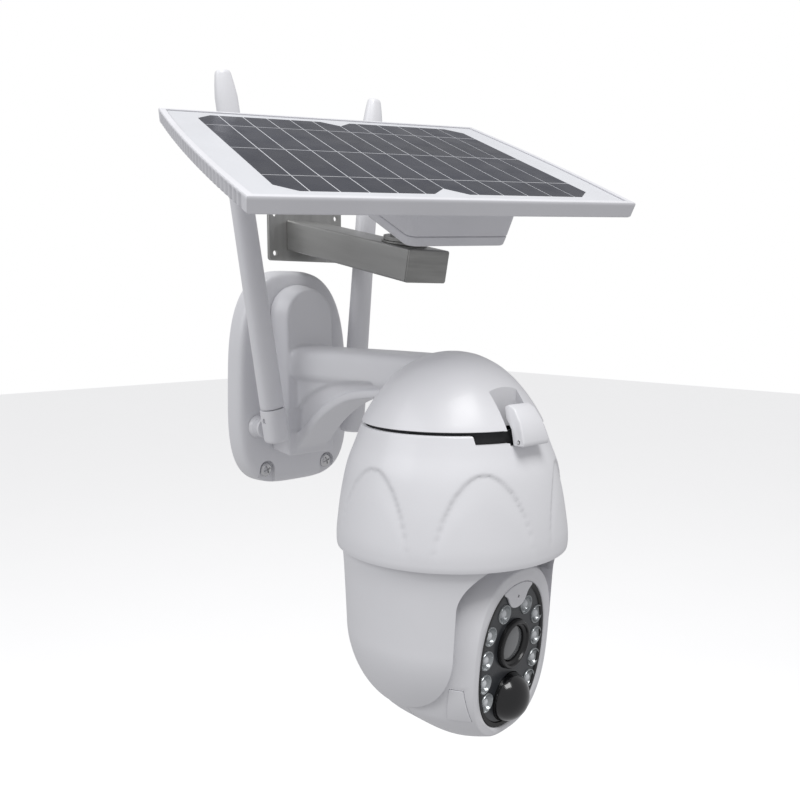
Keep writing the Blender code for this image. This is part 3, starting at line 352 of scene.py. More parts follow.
BLACK = plain("gloss_black_plastic", (0.006, 0.006, 0.007), 0.16, spread=0.2, coat=0.5)
BARREL = plain("lens_ring_black", (0.012, 0.012, 0.013), 0.30, spread=0.2, coat=0.2)
FACE = plain("smoked_face", (0.030, 0.033, 0.038), 0.30, spread=0.12, cloud=60, coat=0.25)
FACE_EDGE = plain("face_gasket", (0.004, 0.004, 0.005), 0.35, spread=0.2)
REFLECTOR = plain(
    "lamp_reflector",
    (0.44, 0.46, 0.47),
    0.22,
    spread=0.10,
    cloud=90,
    metallic=0.55,
    coat=0.3,
)
LAMP = plain("lamp_dome", (0.66, 0.68, 0.70), 0.08, spread=0.05, cloud=120, coat=0.8)
LENS = plain("coated_lens", (0.155, 0.160, 0.165), 0.10, spread=0.12, cloud=70, coat=1.0)
BOARD = plain("green_board", (0.02, 0.12, 0.055), 0.5, spread=0.25, cloud=140)
SLEEVE = plain("cell_sleeve", (0.03, 0.16, 0.36), 0.35, spread=0.08, coat=0.3)
CAN = plain("motor_can_metal", (0.55, 0.55, 0.56), 0.35, spread=0.08, metallic=1.0, stretch=(1, 1, 8))
GEAR = plain("acetal_gear", (0.70, 0.69, 0.64), 0.5, spread=0.04)
BRASS = plain("machined_brass", (0.66, 0.48, 0.20), 0.30, spread=0.08, metallic=1.0)
BACKSHEET = plain("white_backsheet", (0.68, 0.69, 0.72), 0.38, spread=0.012, coat=0.1)
# Painted shade: a grey tone standing for the shadow the panel frame casts on the backsheet.
PAINTED_FRAME_SHADOW = plain("frame_shadow_line", (0.36, 0.36, 0.39), 0.5, spread=0.05)
BUSBAR = plain("cell_ribbon", (0.72, 0.73, 0.76), 0.35, spread=0.06, metallic=0.3)


def solar_cell():
    """Dark silicon with fine contact fingers across each strip, under glass."""
    made, tree, shader = new_material("solar_silicon")
    shader.inputs["Coat Weight"].default_value = 0.03
    shader.inputs["Coat Roughness"].default_value = 0.1
    shader.inputs["Specular IOR Level"].default_value = 0.14
    place = tree.nodes.new("ShaderNodeTexCoord")
    fingers = tree.nodes.new("ShaderNodeTexWave")
    fingers.bands_direction = "Y"
    fingers.inputs["Scale"].default_value = 260.0
    fingers.inputs["Distortion"].default_value = 0.0
    tree.links.new(place.outputs["Object"], fingers.inputs["Vector"])
    lines = tree.nodes.new("ShaderNodeValToRGB")
    lines.color_ramp.elements[0].position = 0.72
    lines.color_ramp.elements[0].color = (0, 0, 0, 1)
    lines.color_ramp.elements[1].position = 0.96
    lines.color_ramp.elements[1].color = (1, 1, 1, 1)
    tree.links.new(fingers.outputs["Fac"], lines.inputs["Fac"])
    cloud = tree.nodes.new("ShaderNodeValToRGB")
    cloud.color_ramp.elements[0].position = 0.35
    cloud.color_ramp.elements[0].color = (0.008, 0.009, 0.015, 1)
    cloud.color_ramp.elements[1].position = 0.65
    cloud.color_ramp.elements[1].color = (0.014, 0.016, 0.027, 1)
    tree.links.new(add_noise(tree, 14.0, 2.0), cloud.inputs["Fac"])
    mixed = tree.nodes.new("ShaderNodeMix")
    mixed.data_type = "RGBA"
    mixed.inputs["B"].default_value = (0.060, 0.065, 0.090, 1)
    tree.links.new(lines.outputs["Color"], mixed.inputs["Factor"])
    tree.links.new(cloud.outputs["Color"], mixed.inputs["A"])
    tree.links.new(mixed.outputs["Result"], shader.inputs["Base Color"])
    vary_roughness(tree, shader, add_noise(tree, 60.0, 3.0), 0.20, 0.32)
    return made


CELL = solar_cell()

BY_SLOT = {
    "white_plastic": WHITE_MATT,
    "soft_rubber": RUBBER,
    "steel": BRUSHED,
    "screw_steel": SCREW,
    "black_plastic": BLACK,
    "smoked_window": FACE,
    "lens_glass": LENS,
    "led_board": FACE,
    "circuit_board": BOARD,
    "battery_sleeve": SLEEVE,
    "motor_can": CAN,
    "gear_plastic": GEAR,
    "brass": BRASS,
    "solar_cells": BACKSHEET,
}
for part in frame["record"]["subparts"]:
    target = nodes[part["node"]]
    target.data.materials.clear()
    target.data.materials.append(BY_SLOT[part["material_slot"]])


# Wall plate, screws and arm

PLATE_WIDTH = 90.5 * MM
PLATE_HEIGHT = 144.0 * MM
PLATE_DEPTH = 14.4 * MM
PLATE_TAPER = 0.05
PLATE_RIM = 4.0 * MM
PLATE_HOLLOW = 7.0 * MM
PLATE_SCREW = (25.0 * MM, -61.0 * MM)
SCREW_TURN = 0.35  # radians, how far the cross slots are turned
CONNECTOR = (32.0 * MM, -31.0 * MM)
ANTENNA_Y = -35.0 * MM
LEFT_LEAN = 8.7  # degrees from upright, outwards
RIGHT_LEAN = 5.5
THROUGH = (-2 * MM, 20 * MM)  # low and high ends of a cutter through the plate


def plate_outline(inset, y, count=144):
    points = []
    for k in range(count):
        angle = 2 * math.pi * k / count
        power = 2.8 if math.sin(angle) > 0 else 3.6
        z = (PLATE_HEIGHT / 2 - inset) * rounded(math.sin(angle), power)
        x = (PLATE_WIDTH / 2 - inset) * rounded(math.cos(angle), power)
        points.append((x * (1 - PLATE_TAPER * z / (PLATE_HEIGHT / 2)), y, z))
    return points


def make_wall_plate():
    levels = ((0, 0), (0.1, 0.3), (0.35, 0.62), (0.8, 0.78), (1.6, 0.89), (2.8, 0.96))
    levels += ((4.6, 1.0), (10, 1.0))
    rings = [plate_outline(inset * MM, -share * PLATE_DEPTH) for inset, share in levels]
    plate = loft("wall_plate_fine", rings, WHITE)
    recess = loft("recess", [plate_outline(PLATE_RIM, y) for y in (1.0 * MM, -PLATE_HOLLOW)])
    helpers = [recess]
    helpers.append(
        prism(
            "notch",
            [(-4 * MM, -12 * MM)] + circle(4 * MM, 32)[:17][::-1] + [(4 * MM, -12 * MM)],
            -4.0 * MM,
            8.5 * MM,
            place=along_front((0, 0, -65 * MM)),
        )
    )
    for side in (-1, 1):
        drop = [(6.0 * MM, 0.0), (6.4 * MM, -14 * MM), (-6.4 * MM, -14 * MM), (-6.0 * MM, 0.0)]
        pocket = circle(6.0 * MM, 48)[:25] + drop[2:0:-1]
        place = along_front((side * PLATE_SCREW[0], 0, PLATE_SCREW[1]))
        helpers.append(prism(f"pocket_{side}", pocket, 11.2 * MM, 20 * MM, place=place))
        helpers.append(prism(f"bore_{side}", circle(2.4 * MM, 24), *THROUGH, place=place))
        hole = along_front((side * CONNECTOR[0], 0, CONNECTOR[1]))
        helpers.append(prism(f"hole_{side}", circle(3.3 * MM, 24), *THROUGH, place=hole))
    cut(plate, *helpers)
    stands_for(plate, "root", "white_plastic", "wall_plate")


def make_screw(side, name):
    place = along_front((side * PLATE_SCREW[0], 0, PLATE_SCREW[1]))
    head = [(0, 14.4), (1.6, 14.35), (3.0, 14.1), (4.0, 13.6), (4.6, 12.8), (4.7, 12.2), (4.7, 11.5)]
    head += [(2.0, 11.5), (2.0, 3.0), (0, 1.0)]
    screw = turned(f"{name}_fine", in_mm(head), SCREW, 64, place)
    helpers = []
    for turn in (SCREW_TURN, SCREW_TURN + math.pi / 2):
        slot = box("slot", (-2.7 * MM, -0.55 * MM, 12.6 * MM), (2.7 * MM, 0.55 * MM, 16 * MM))
        slot.matrix_world = place @ Matrix.Rotation(turn, 4, "Z")
        helpers.append(slot)
    cut(screw, *helpers)
    stands_for(screw, "root", "screw_steel", name)


ARM_MIDDLE = 10.5 * MM
ARM_HALF_WIDTH = 17.5 * MM
ARM_HALF_HEIGHT = 11.5 * MM
ARM_GRAIN = 0.85 * MM  # voxel size of the remesh that rounds the moulding's joins


def arm_section(share):
    return oval(ARM_HALF_WIDTH * share, ARM_HALF_HEIGHT * share, 3.4, 48, (0, ARM_MIDDLE))


def make_arm():
    """Boss, arm and curved web grown together into one smooth moulding."""
    arch = [(-19, -50), (19, -50)]
    arch += [(19 * math.cos(math.pi * k / 24), 41 + 19 * math.sin(math.pi * k / 24)) for k in range(25)]
    boss = loft(
        "boss",
        [
            [(x * share * MM, y * MM, (z - (1 - share) * 20) * MM) for x, z in arch]
            for share, y in ((1.12, -14.7), (1.1, -20), (1.0, -28), (0.975, -30.0), (0.94, -31.0))
        ],
    )
    tube = loft(
        "tube",
        [
            [(x, y * MM, z) for x, z in arm_section(k)]
            for y, k in ((-24, 1.0), (-110, 1.0), (-144, 0.985), (-149, 0.95))
        ],
    )
    edge = curve_through(
        [(-25, -49), (-34, -44), (-42, -36), (-52, -27), (-67, -17), (-87, -9), (-116, -5)], 5
    )
    side = [(-25.0, 12.0)] + [(p.x, p.y) for p in edge] + [(-116.0, 12.0)]
    web = loft("web", [[(x * MM, y * MM, z * MM) for y, z in side] for x in (-12.5, 12.5)])
    groove = curve_through([(-30, -20), (-42, -10), (-60, -2.5), (-84, 2.5), (-112, 4.0)], 6)
    lower = curve_through([(-30, -36), (-42, -27), (-58, -15.5), (-84, -4.5), (-112, -0.5)], 6)
    ring = [(p.x, p.y) for p in groove] + [(p.x, p.y) for p in reversed(lower)]
    cuts = [
        loft("web_hollow", [[(x * MM, y * MM, z * MM) for y, z in ring] for x in ends])
        for ends in ((-30, -9.5), (9.5, 30))
    ]
    boolean(boss, tube, "UNION")
    boolean(boss, web, "UNION")
    for hollow in cuts:
        boolean(boss, hollow, "DIFFERENCE")
    bake(boss)
    boss.name = "arm_moulding"
    remesh = boss.modifiers.new("remesh", "REMESH")
    remesh.mode = "VOXEL"
    remesh.voxel_size = ARM_GRAIN
    relax = boss.modifiers.new("relax", "SMOOTH")
    relax.factor = 0.6
    relax.iterations = 9
    bake(boss)
    boss.data.materials.clear()
    boss.data.materials.append(WHITE)
    boss.data.shade_smooth()
    stands_for(boss, "root", "white_plastic", "arm_bracket")


# Antennas


KNUCKLE_HALF = 7.6 * MM
PIN_Z = 7.5 * MM  # fold pin above the swivel axis


def make_antenna(side, name, lean):
    x = side * CONNECTOR[0]
    place = along_front((x, 0, CONNECTOR[1]))
    ridge = []
    for k in range(5):
        z = 17.6 + k * 1.0
        ridge += [(6.7, z), (6.7, z + 0.45), (6.35, z + 0.6), (6.35, z + 0.85)]
    profile = [(0, 8.0), (3.0, 8.0), (3.0, 14.7), (7.3, 14.7), (7.6, 15.0), (7.6, 15.6), (6.7, 17.0)]
    profile += ridge + [(6.0, 24.0), (2.6, 24.0), (2.6, 26.5), (0, 26.5)]
    base = turned(f"antenna_connector_{name}_fine", in_mm(profile), WHITE, 64, place)
    stands_for(base, "root", "white_plastic", f"antenna_connector_{name}")
    swivel = Matrix.Translation((x, ANTENNA_Y, CONNECTOR[1])) @ Matrix.Rotation(
        math.radians(side * lean), 4, "Y"
    )
    body = f"antenna_{name}"
    levels = ((-7.5, 0.80), (-7.1, 0.90), (-6.3, 0.97), (-5.0, 1.0), (13.3, 1.0))
    levels += ((13.8, 0.985), (14.0, 0.95))
    rings = [
        [(px, py, z * MM) for px, py in oval(KNUCKLE_HALF * k, KNUCKLE_HALF * k, 2.6, 56)]
        for z, k in levels
    ]
    knuckle = loft(f"antenna_knuckle_{name}_fine", rings, WHITE, swivel)
    slot = box("slot", (-4.4 * MM, -3.9 * MM, 1.0 * MM), (4.4 * MM, 3.9 * MM, 20 * MM), place=swivel)
    socket = prism(
        "socket",
        circle(2.9 * MM, 32),
        -20 * MM,
        -6.0 * MM,
        place=swivel @ along_front((0, 0, 0)),
    )
    bore = prism("bore", circle(1.8 * MM, 24), -12 * MM, 12 * MM, place=swivel @ along_x((0, 0, PIN_Z)))
    cut(knuckle, slot, socket, bore)
    stands_for(knuckle, body, "white_plastic", f"antenna_knuckle_{name}")
    shape = [(14.4, 7.0), (14.7, 7.5), (15.4, 7.85), (18, 7.95), (40, 7.85), (90, 7.55)]
    shape += [
        (150, 7.2),
        (196, 7.0),
        (205, 6.9),
        (212, 6.0),
        (217.6, 5.0),
        (219.2, 4.5),
        (219.85, 3.8),
        (220, 2.8),
    ]
    rings = [[(px, py, z * MM) for px, py in oval(r * MM, r * 0.78 * MM, 2.3, 56)] for z, r in shape]
    rod = loft(f"antenna_rod_{name}_fine", rings, WHITE, swivel)
    tongue = box(
        "tongue", (-4.1 * MM, -3.6 * MM, 3.6 * MM), (4.1 * MM, 3.6 * MM, 20 * MM), place=swivel
    )
    pin = prism("pin", circle(1.5 * MM, 24), -6.5 * MM, 6.5 * MM, place=swivel @ along_x((0, 0, PIN_Z)))
    boolean(rod, tongue, "UNION")
    boolean(rod, pin, "UNION")
    bake(rod)
    shade(rod, 40)
    stands_for(rod, body, "white_plastic", f"antenna_rod_{name}")


# Head

HEAD_Y = -161.7 * MM
HEAD = Matrix.Translation((0, HEAD_Y, 0))
LATCH_HALF = 10.5 * MM
LATCH_HINGE_Z = -19.4
LATCH_HINGE_Y = -56.0 * MM
RECESS_BACK = 36.5 * MM
SHELL_OUTER = (
    (50.7, -16.0),
    (54.2, -25.4),
    (58.8, -37.7),
    (62.2, -53.5),
    (64.6, -70.5),
    (65.0, -79.0),
    (64.6, -82.6),
)
CAP_OUTER = (
    (50.5, -14.2),
    (48.6, -10.5),
    (44.8, -4.2),
    (39.6, 3.0),
    (33.0, 10.2),
    (25.0, 16.6),
    (15.0, 21.6),
    (6.0, 23.7),
    (0.0, 24.0),
)
PETAL_PITCH = math.radians(60)
PETAL_HALF = math.radians(25)
PETAL_TOP = -34.5
PETAL_DROP = 54
PETAL_DEPTH = 1.0


def petal(r, z, angle):
    """Six shallow arched panels pressed into the shell's outside, deepest along their upper edge."""
    if r < 50 * MM or z > -30 * MM:
        return r, z
    offset = abs((angle + PETAL_PITCH / 2) % PETAL_PITCH - PETAL_PITCH / 2)
    share = min(1.0, offset / PETAL_HALF)
    edge = PETAL_TOP - PETAL_DROP * (1 - math.sqrt(1 - share**2))
    below = edge - z / MM
    if share >= 1.0 or below < -0.6:
        return r, z
    fade = 1 - smoothstep((-z / MM - 46) / 38)
    depth = PETAL_DEPTH * smoothstep((below + 0.6) / 1.2) * (0.1 + 0.9 * fade)
    depth *= 1 - 0.5 * smoothstep(below / 16)
    return r - depth * MM, z


def make_shell():
    outer = in_mm(curve_through(SHELL_OUTER, 12))
    inner = [(r - WALL * MM, z) for r, z in outer[::6]]
    outer = [(outer[0][0] - 0.5 * MM, outer[0][1])] + outer[1:-1] + [
        (outer[-1][0] - 0.6 * MM, outer[-1][1])
    ]
    profile = outer + [inner[-1]] + inner[::-1][1:]
    shell = turned("head_shell_fine", profile[::-1], WHITE, 288, HEAD, 40, petal)
    notch = box(
        "notch",
        (-LATCH_HALF - GAP * MM, HEAD_Y - 80 * MM, -21.8 * MM),
        (LATCH_HALF + GAP * MM, HEAD_Y - 40 * MM, -10 * MM),
    )
    side_notch = box(
        "side_notch",
        (-LATCH_HALF - 18 * MM, HEAD_Y - 80 * MM, -20.4 * MM),
        (-LATCH_HALF + 1 * MM, HEAD_Y - 30 * MM, -10 * MM),
    )
    cut(shell, notch, side_notch, sharp=40)
    lining = turned(
        "seam_lining",
        [(r * MM, z * MM) for r, z in ((46.0, -22.6), (48.0, -22.6), (47.4, -14.4), (45.4, -14.4))],
        RUBBER,
        96,
        HEAD,
    )
    stands_for(lining, "root", "soft_rubber", "seam_seal")
    stands_for(shell, "root", "white_plastic", "head_shell")


def make_cap():
    outer = in_mm(curve_through(CAP_OUTER, 8))
    outer = [(max(0.0, r), z) for r, z in outer]
    inner = [(r - WALL * MM, z - 0.6 * WALL * MM) for r, z in outer[6:-10:6]]
    rim = [(outer[0][0] - inset * MM, outer[0][1]) for inset in (WALL, GAP)]
    profile = rim + outer[1:] + [(0, outer[-1][1] - WALL * MM)] + inner[::-1]
    cap = turned("top_cap_fine", profile, WHITE, 200, HEAD, 40)
    pocket = turned("pocket", [(0, outer[0][1])] + outer, None, 200, HEAD)
    size = box(
        "pocket_size",
        (-LATCH_HALF - 2 * MM, HEAD_Y - 80 * MM, -30 * MM),
        (LATCH_HALF + 2 * MM, HEAD_Y - RECESS_BACK + 2 * MM, 30 * MM),
    )
    boolean(pocket, size, "INTERSECT")
    bake(pocket)
    boolean(cap, pocket, "UNION")
    recess = box(
        "recess",
        (-LATCH_HALF - GAP * MM, HEAD_Y - 80 * MM, -20 * MM),
        (LATCH_HALF + GAP * MM, HEAD_Y - RECESS_BACK, 30 * MM),
    )
    room = oval(
        ARM_HALF_WIDTH + GAP * MM, ARM_HALF_HEIGHT + GAP * MM, 3.4, 48, (0, ARM_MIDDLE)
    )
    arm = loft("arm_room", [[(x, y * MM, z) for x, z in room] for y in (-90, -149.3)])
    web = box("web_room", (-13 * MM, -117 * MM, -20 * MM), (13 * MM, -90 * MM, 13 * MM))
    cut(cap, recess, arm, web, sharp=40)
    stands_for(cap, "root", "white_plastic", "top_cap")


def make_latch():
    side = [(-52.6, -21.5), (-59.4, -21.5), (-59.8, -19.0), (-56.0, -9.5), (-51.6, -3.2), (-47.4, -1.0)]
    side += [(-44.6, -2.4), (-46.2, -8.0), (-50.4, -13.4)]
    rings = []
    for end in (-1, 1):
        ring = []
        for y, z in side:
            rise = max(0.0, (z - LATCH_HINGE_Z) / 18.4)
            half = (LATCH_HALF - GAP * MM) * (1 - 0.22 * rise)
            ring.append((end * half, HEAD_Y + y * MM, z * MM))
        rings.append(ring)
    latch = loft("latch_fine", rings, WHITE, smooth=False)
    bevel(latch, 0.8 * MM, 4)
    hinge = along_x((0, HEAD_Y + LATCH_HINGE_Y, LATCH_HINGE_Z * MM))
    bore = prism("bore", circle(1.1 * MM, 24), -20 * MM, 20 * MM, place=hinge)
    cut(latch, bore)
    stands_for(latch, "seam_latch", "white_plastic", "latch")


# Pan bowl

PAN_AT_REST = 6.3  # degrees, turned towards +X
PAN = HEAD @ Matrix.Rotation(math.radians(PAN_AT_REST), 4, "Z")
BOWL_TOP = -76.2
BOWL_RADIUS = 59.5
BOWL_SPHERE_Z = -126.5
BOWL_WALL = 2.6
SLOT_HALF = 46.3 * MM
TILT_Z = -136.0 * MM


def bowl_profile(inset=0.0):
    side = [(60.4, BOWL_TOP), (61.5, -84.0), (60.9, -95.0), (60.2, -110.0)]
    points = curve_through(side + [(BOWL_RADIUS, BOWL_SPHERE_Z)], 5)
    radius = BOWL_RADIUS - inset
    made = [((p.x - inset) * MM, p.y * MM) for p in points]
    for k in range(1, 37):
        angle = math.pi / 2 * k / 36
        r = 0 if k == 36 else radius * math.cos(angle)
        made.append((r * MM, (BOWL_SPHERE_Z - radius * math.sin(angle)) * MM))
    return made


def make_bowl():
    bowl = turned("pan_bowl_fine", [(0, BOWL_TOP * MM)] + bowl_profile(), WHITE, 200, PAN, 40)
    ceiling = (BOWL_TOP - BOWL_WALL) * MM
    hollow = [(0, ceiling)] + [(r, min(z, ceiling)) for r, z in bowl_profile(BOWL_WALL)]
    inside = turned("inside", hollow, None, 200, PAN)
    slab = box("slab", (-SLOT_HALF, -80 * MM, -200 * MM), (SLOT_HALF, 80 * MM, -70 * MM), place=PAN)
    boolean(inside, slab, "INTERSECT")
    bake(inside)
    top, radius = -79.8 * MM, 24 * MM
    arch = [(SLOT_HALF, -220 * MM)]
    for turn, side in ((0, 1), (1, -1)):
        for k in range(25):
            angle = math.pi / 2 * (turn + k / 24)
            x = side * (SLOT_HALF - radius) + radius * math.cos(angle)
            arch.append((x, top - radius + radius * math.sin(angle)))
    arch.append((-SLOT_HALF, -220 * MM))
    front = prism("front", arch, -20 * MM, 90 * MM, place=PAN @ along_front((0, 0, 0)))
    rear = box("rear", (-SLOT_HALF, 0, -220 * MM), (SLOT_HALF, 80 * MM, -139.5 * MM), place=PAN)
    hub = prism("hub", circle(7.3 * MM, 48), -90 * MM, -60 * MM, place=PAN)
    axis = PAN @ along_x((0, 0, TILT_Z))
    seats = [
        prism(f"seat_{low}", circle(4.3 * MM, 32), low * MM, (low + 7) * MM, place=axis)
        for low in (-51, 44)
    ]
    cut(bowl, inside, front, rear, hub, *seats, sharp=40)
    bevel(bowl, 0.7 * MM, 3, 50)
    stands_for(bowl, "pan_head", "white_plastic", "pan_bowl")


# Tilt module

TILT_AT_REST = 5.0  # degrees below level
TILT = (
    PAN
    @ Matrix.Translation((0, 0, TILT_Z))
    @ Matrix.Rotation(math.radians(TILT_AT_REST), 4, "X")
)
FACING = TILT @ along_front((0, 0, 0))
CUTTER = (30 * MM, 60 * MM)  # near and far ends of a cutter through the face
MODULE_RADIUS = 54.3
MODULE_HALF = 45.6
FACE_DEPTH = 42.9
FACE_HALF = (35.0, 46.0)
FACE_Z = 2.3
UNDERSIDE = 0.91  # how much flatter the module is below its axis
WINDOW_HALF = (30.0, 40.5)
WINDOW_Z = 0.6
LENS_Z = 6.8
PIR_Z = -24.0
PIR_RADIUS = 13.4


def module_section(y, inset=0.0, count=120):
    share = max(0.0, min(1.0, -y / FACE_DEPTH))
    ease = smoothstep(share)
    radius = math.sqrt(max(0.0, MODULE_RADIUS**2 - max(0.0, y) ** 2)) - inset
    flat = MODULE_HALF - inset
    face_x = MODULE_HALF + (FACE_HALF[0] - MODULE_HALF) * share**3.2 - inset
    face_z = MODULE_RADIUS + (FACE_HALF[1] - MODULE_RADIUS) * share**1.9 - inset
    points = []
    for k in range(count):
        angle = 2 * math.pi * k / count
        ball_x = radius * math.cos(angle)
        if abs(ball_x) > flat:
            ball_x = math.copysign(flat, ball_x)
        ball_z = radius * math.sin(angle)
        oval_x = face_x * rounded(math.cos(angle), 2.6)
        oval_z = face_z * rounded(math.sin(angle), 2.6) + FACE_Z * share
        if ball_z < 0:
            ball_z *= UNDERSIDE
            oval_z *= UNDERSIDE + (1 - UNDERSIDE) * share
        x = ball_x + (oval_x - ball_x) * ease
        z = ball_z + (oval_z - ball_z) * ease
        points.append((x * MM, y * MM, z * MM))
    return points


def window_outline(grow, count=96):
    half_x, half_y = ((half + grow) * MM for half in WINDOW_HALF)
    return oval(half_x, half_y, 2.3, count, (0, WINDOW_Z * MM))


def led_places():
    right = ((10.3, 19.5), (22.2, 10.6), (23.4, -2.5), (23.4, -15.8), (20.3, -27.5))
    return [(side * x * MM, (LENS_Z + z) * MM) for x, z in right for side in (-1, 1)]


def make_housing():
    steps = [-8 - 3.4 * k for k in range(10)] + [-41.6, -42.3]
    rings = [module_section(y) for y in steps]
    for y, s in ((-42.75, 0.99), (-FACE_DEPTH, 0.974)):
        rings.append([(x * s, y * MM, z * s) for x, _, z in module_section(-42.3)])
    front = loft("tilt_front_fine", rings, WHITE, TILT, 45)
    inner = loft("inner", [module_section(y, 2.2) for y in (-6, -12, -18, -24, -30, -37.5)], None, TILT)
    hole = prism("hole", window_outline(0.3), *CUTTER, place=FACING)
    lip = loft(
        "lip",
        [
            [(x, y, h * MM) for x, y in window_outline(g)]
            for h, g in ((42.0, 0.3), (42.5, 0.5), (43.4, 1.6))
        ],
        None,
        FACING,
    )
    wedge = [(-41.3, -27.3), (-30.7, -27.3), (-32.2, -8.7), (-38.8, -8.7)]
    slot = loft("slot", [[(x * MM, y * MM, z * MM) for y, z in wedge] for x in (-60, -20)], None, TILT)
    cut(front, inner, hole, lip, slot, sharp=40)
    bevel(front, 0.35 * MM, 2, 50)
    stands_for(front, "tilt_head", "white_plastic", "tilt_front")
    steps = [-7.7, -4, 0] + [54.2 * math.sin(math.pi / 2 * k / 20) for k in range(1, 20)] + [54.25]
    rear = loft("tilt_rear_fine", [module_section(y) for y in steps], WHITE, TILT, 45)
    steps = [-10, 0] + [49.4 * math.sin(math.pi / 2 * k / 10) for k in range(1, 11)]
    inner = loft("inner", [module_section(y, 2.4) for y in steps], None, TILT)
    axle = prism("axle", circle(6.3 * MM, 48), -60 * MM, 60 * MM, place=TILT @ along_x((0, 0, 0)))
    cut(rear, inner, axle, sharp=40)
    stands_for(rear, "tilt_head", "white_plastic", "tilt_rear")
    rings = [module_section(y, -0.55) for y in (-26, -29, -32, -35, -38, -40.5, -42.5)]
    cover = loft("card_cover_fine", rings, WHITE, TILT, 45)
    wedge = [(-41.0, -27.0), (-31.0, -27.0), (-32.5, -9.0), (-38.5, -9.0)]
    edge = loft("edge", [[(x * MM, y * MM, z * MM) for y, z in wedge] for x in (-60, -20)], None, TILT)
    inner = loft(
        "inner", [module_section(y, 1.9) for y in (-20, -24, -29, -34, -39, -42.89)], None, TILT
    )
    boolean(cover, edge, "INTERSECT")
    boolean(cover, inner, "DIFFERENCE")
    bake(cover)
    shade(cover, 35)
    stands_for(cover, "tilt_head", "white_plastic", "card_cover")


def make_face():
    plate = prism("face_plate", window_outline(-0.05), 40.5 * MM, 41.6 * MM, FACE, FACING)
    holes = [prism("lens_hole", circle(13.9 * MM, 64, (0, LENS_Z * MM)), *CUTTER, place=FACING)]
    holes.append(
        prism("pir_hole", circle((PIR_RADIUS + 0.3) * MM, 64, (0, PIR_Z * MM)), *CUTTER, place=FACING)
    )
    for k, spot in enumerate(led_places()):
        holes.append(prism(f"led_hole_{k}", circle(5.5 * MM, 40, spot), *CUTTER, place=FACING))
    cut(plate, *holes)
    stands_for(plate, "tilt_head", "smoked_window", "front_window")
    data = bmesh.new()
    loops = []
    for h, g in ((41.65, -2.6), (42.25, -2.2), (42.45, -1.2), (42.4, -0.05), (41.65, -0.05)):
        loops.append([data.verts.new((x, y, h * MM)) for x, y in window_outline(g)])
    count = len(loops[0])
    for a, b in zip(loops, loops[1:] + loops[:1]):
        for i in range(count):
            j = (i + 1) % count
            data.faces.new((a[i], a[j], b[j], b[i]))
    gasket = finish_mesh("face_gasket_ring", data, FACE_EDGE, True, 35, FACING)
    stands_for(gasket, "tilt_head", "smoked_window")
    back = prism("lamp_board", window_outline(-0.6), 36.2 * MM, 37.6 * MM, FACE, FACING)
    rooms = [prism("a", circle(12.4 * MM, 48, (0, LENS_Z * MM)), *CUTTER, place=FACING)]
    rooms.append(
        prism("b", circle((PIR_RADIUS + 0.3) * MM, 48, (0, PIR_Z * MM)), *CUTTER, place=FACING)
    )
    cut(back, *rooms)
    cups = [back]
    cup = [(0, 37.7), (5.0, 37.7), (5.35, 38.2), (5.35, 42.0), (5.1, 42.4), (4.75, 42.3)]
    cup += [(4.3, 40.6), (2.2, 38.8), (0, 38.6)]
    dome = [(0, 38.3), (2.5, 38.3), (2.5, 40.2), (2.3, 41.1), (1.7, 41.8), (0.9, 42.2), (0, 42.3)]
    lamps = []
    for k, (x, z) in enumerate(led_places()):
        spot = FACING @ Matrix.Translation((x, z, 0))
        cups.append(turned(f"cup_{k}", in_mm(cup), REFLECTOR, 40, spot))
        lamps.append(turned(f"lamp_{k}", in_mm(dome), LAMP, 32, spot, 60))
    stands_for(joined("lamp_cups", cups), "tilt_head", "led_board", "led_board")
    stands_for(joined("lamp_domes", lamps, LAMP), "tilt_head", "led_board")
    edge = [(-13.0, 37.6), (-9.6, 35.2), (-7.4, 31.6), (-4.6, 28.9), (0, 27.9)]
    edge += [(-x, z) for x, z in edge[-2::-1]]
    tongue = in_mm([(-13.5, 44.0), *curve_through(edge, 5), (13.5, 44.0)])
    flap = prism("face_tongue", tongue, 41.7 * MM, 43.0 * MM, WHITE, FACING)
    trim = prism("trim", window_outline(0.25), *CUTTER, place=FACING)
    boolean(flap, trim, "INTERSECT")
    bake(flap)
    bevel(flap, 0.35 * MM, 3, 50)
    mic = prism("mic", circle(0.9 * MM, 32, (0, 34.2 * MM)), *CUTTER, place=FACING)
    cut(flap, mic)
    stands_for(flap, "tilt_head", "white_plastic")
    dot = prism(
        "microphone_gauze",
        circle(1.2 * MM, 32, (0, 34.2 * MM)),
        41.62 * MM,
        41.69 * MM,
        FACE_EDGE,
        FACING,
    )
    stands_for(dot, "tilt_head", "black_plastic")


def make_lens():
    place = FACING @ Matrix.Translation((0, LENS_Z * MM, 0))
    barrel = [
        (7.2, 22.0),
        (9.0, 22.0),
        (9.0, 32.0),
        (12.0, 33.5),
        (12.0, 39.8),
        (13.5, 41.0),
        (13.6, 41.4),
    ]
    barrel += [
        (13.6, 43.3),
        (13.4, 44.0),
        (12.9, 44.5),
        (12.2, 44.6),
        (11.6, 44.3),
        (11.2, 43.4),
        (10.6, 43.0),
    ]
    barrel += [(10.2, 42.8), (9.9, 42.4), (9.8, 38.0), (7.2, 38.0)]
    ring = turned("lens_barrel_fine", in_mm(barrel), BARREL, 96, place, 28)
    stands_for(ring, "tilt_head", "black_plastic", "lens_barrel")
    glass = [(0, 38.3), (9.4, 38.3), (9.4, 41.4), (8.6, 41.6), (7.0, 41.85), (5.0, 42.05)]
    glass += [(2.5, 42.15), (0, 42.2)]
    lens = turned("lens_glass_fine", in_mm(glass), LENS, 96, place, 40)
    stands_for(lens, "tilt_head", "lens_glass", "lens_glass")


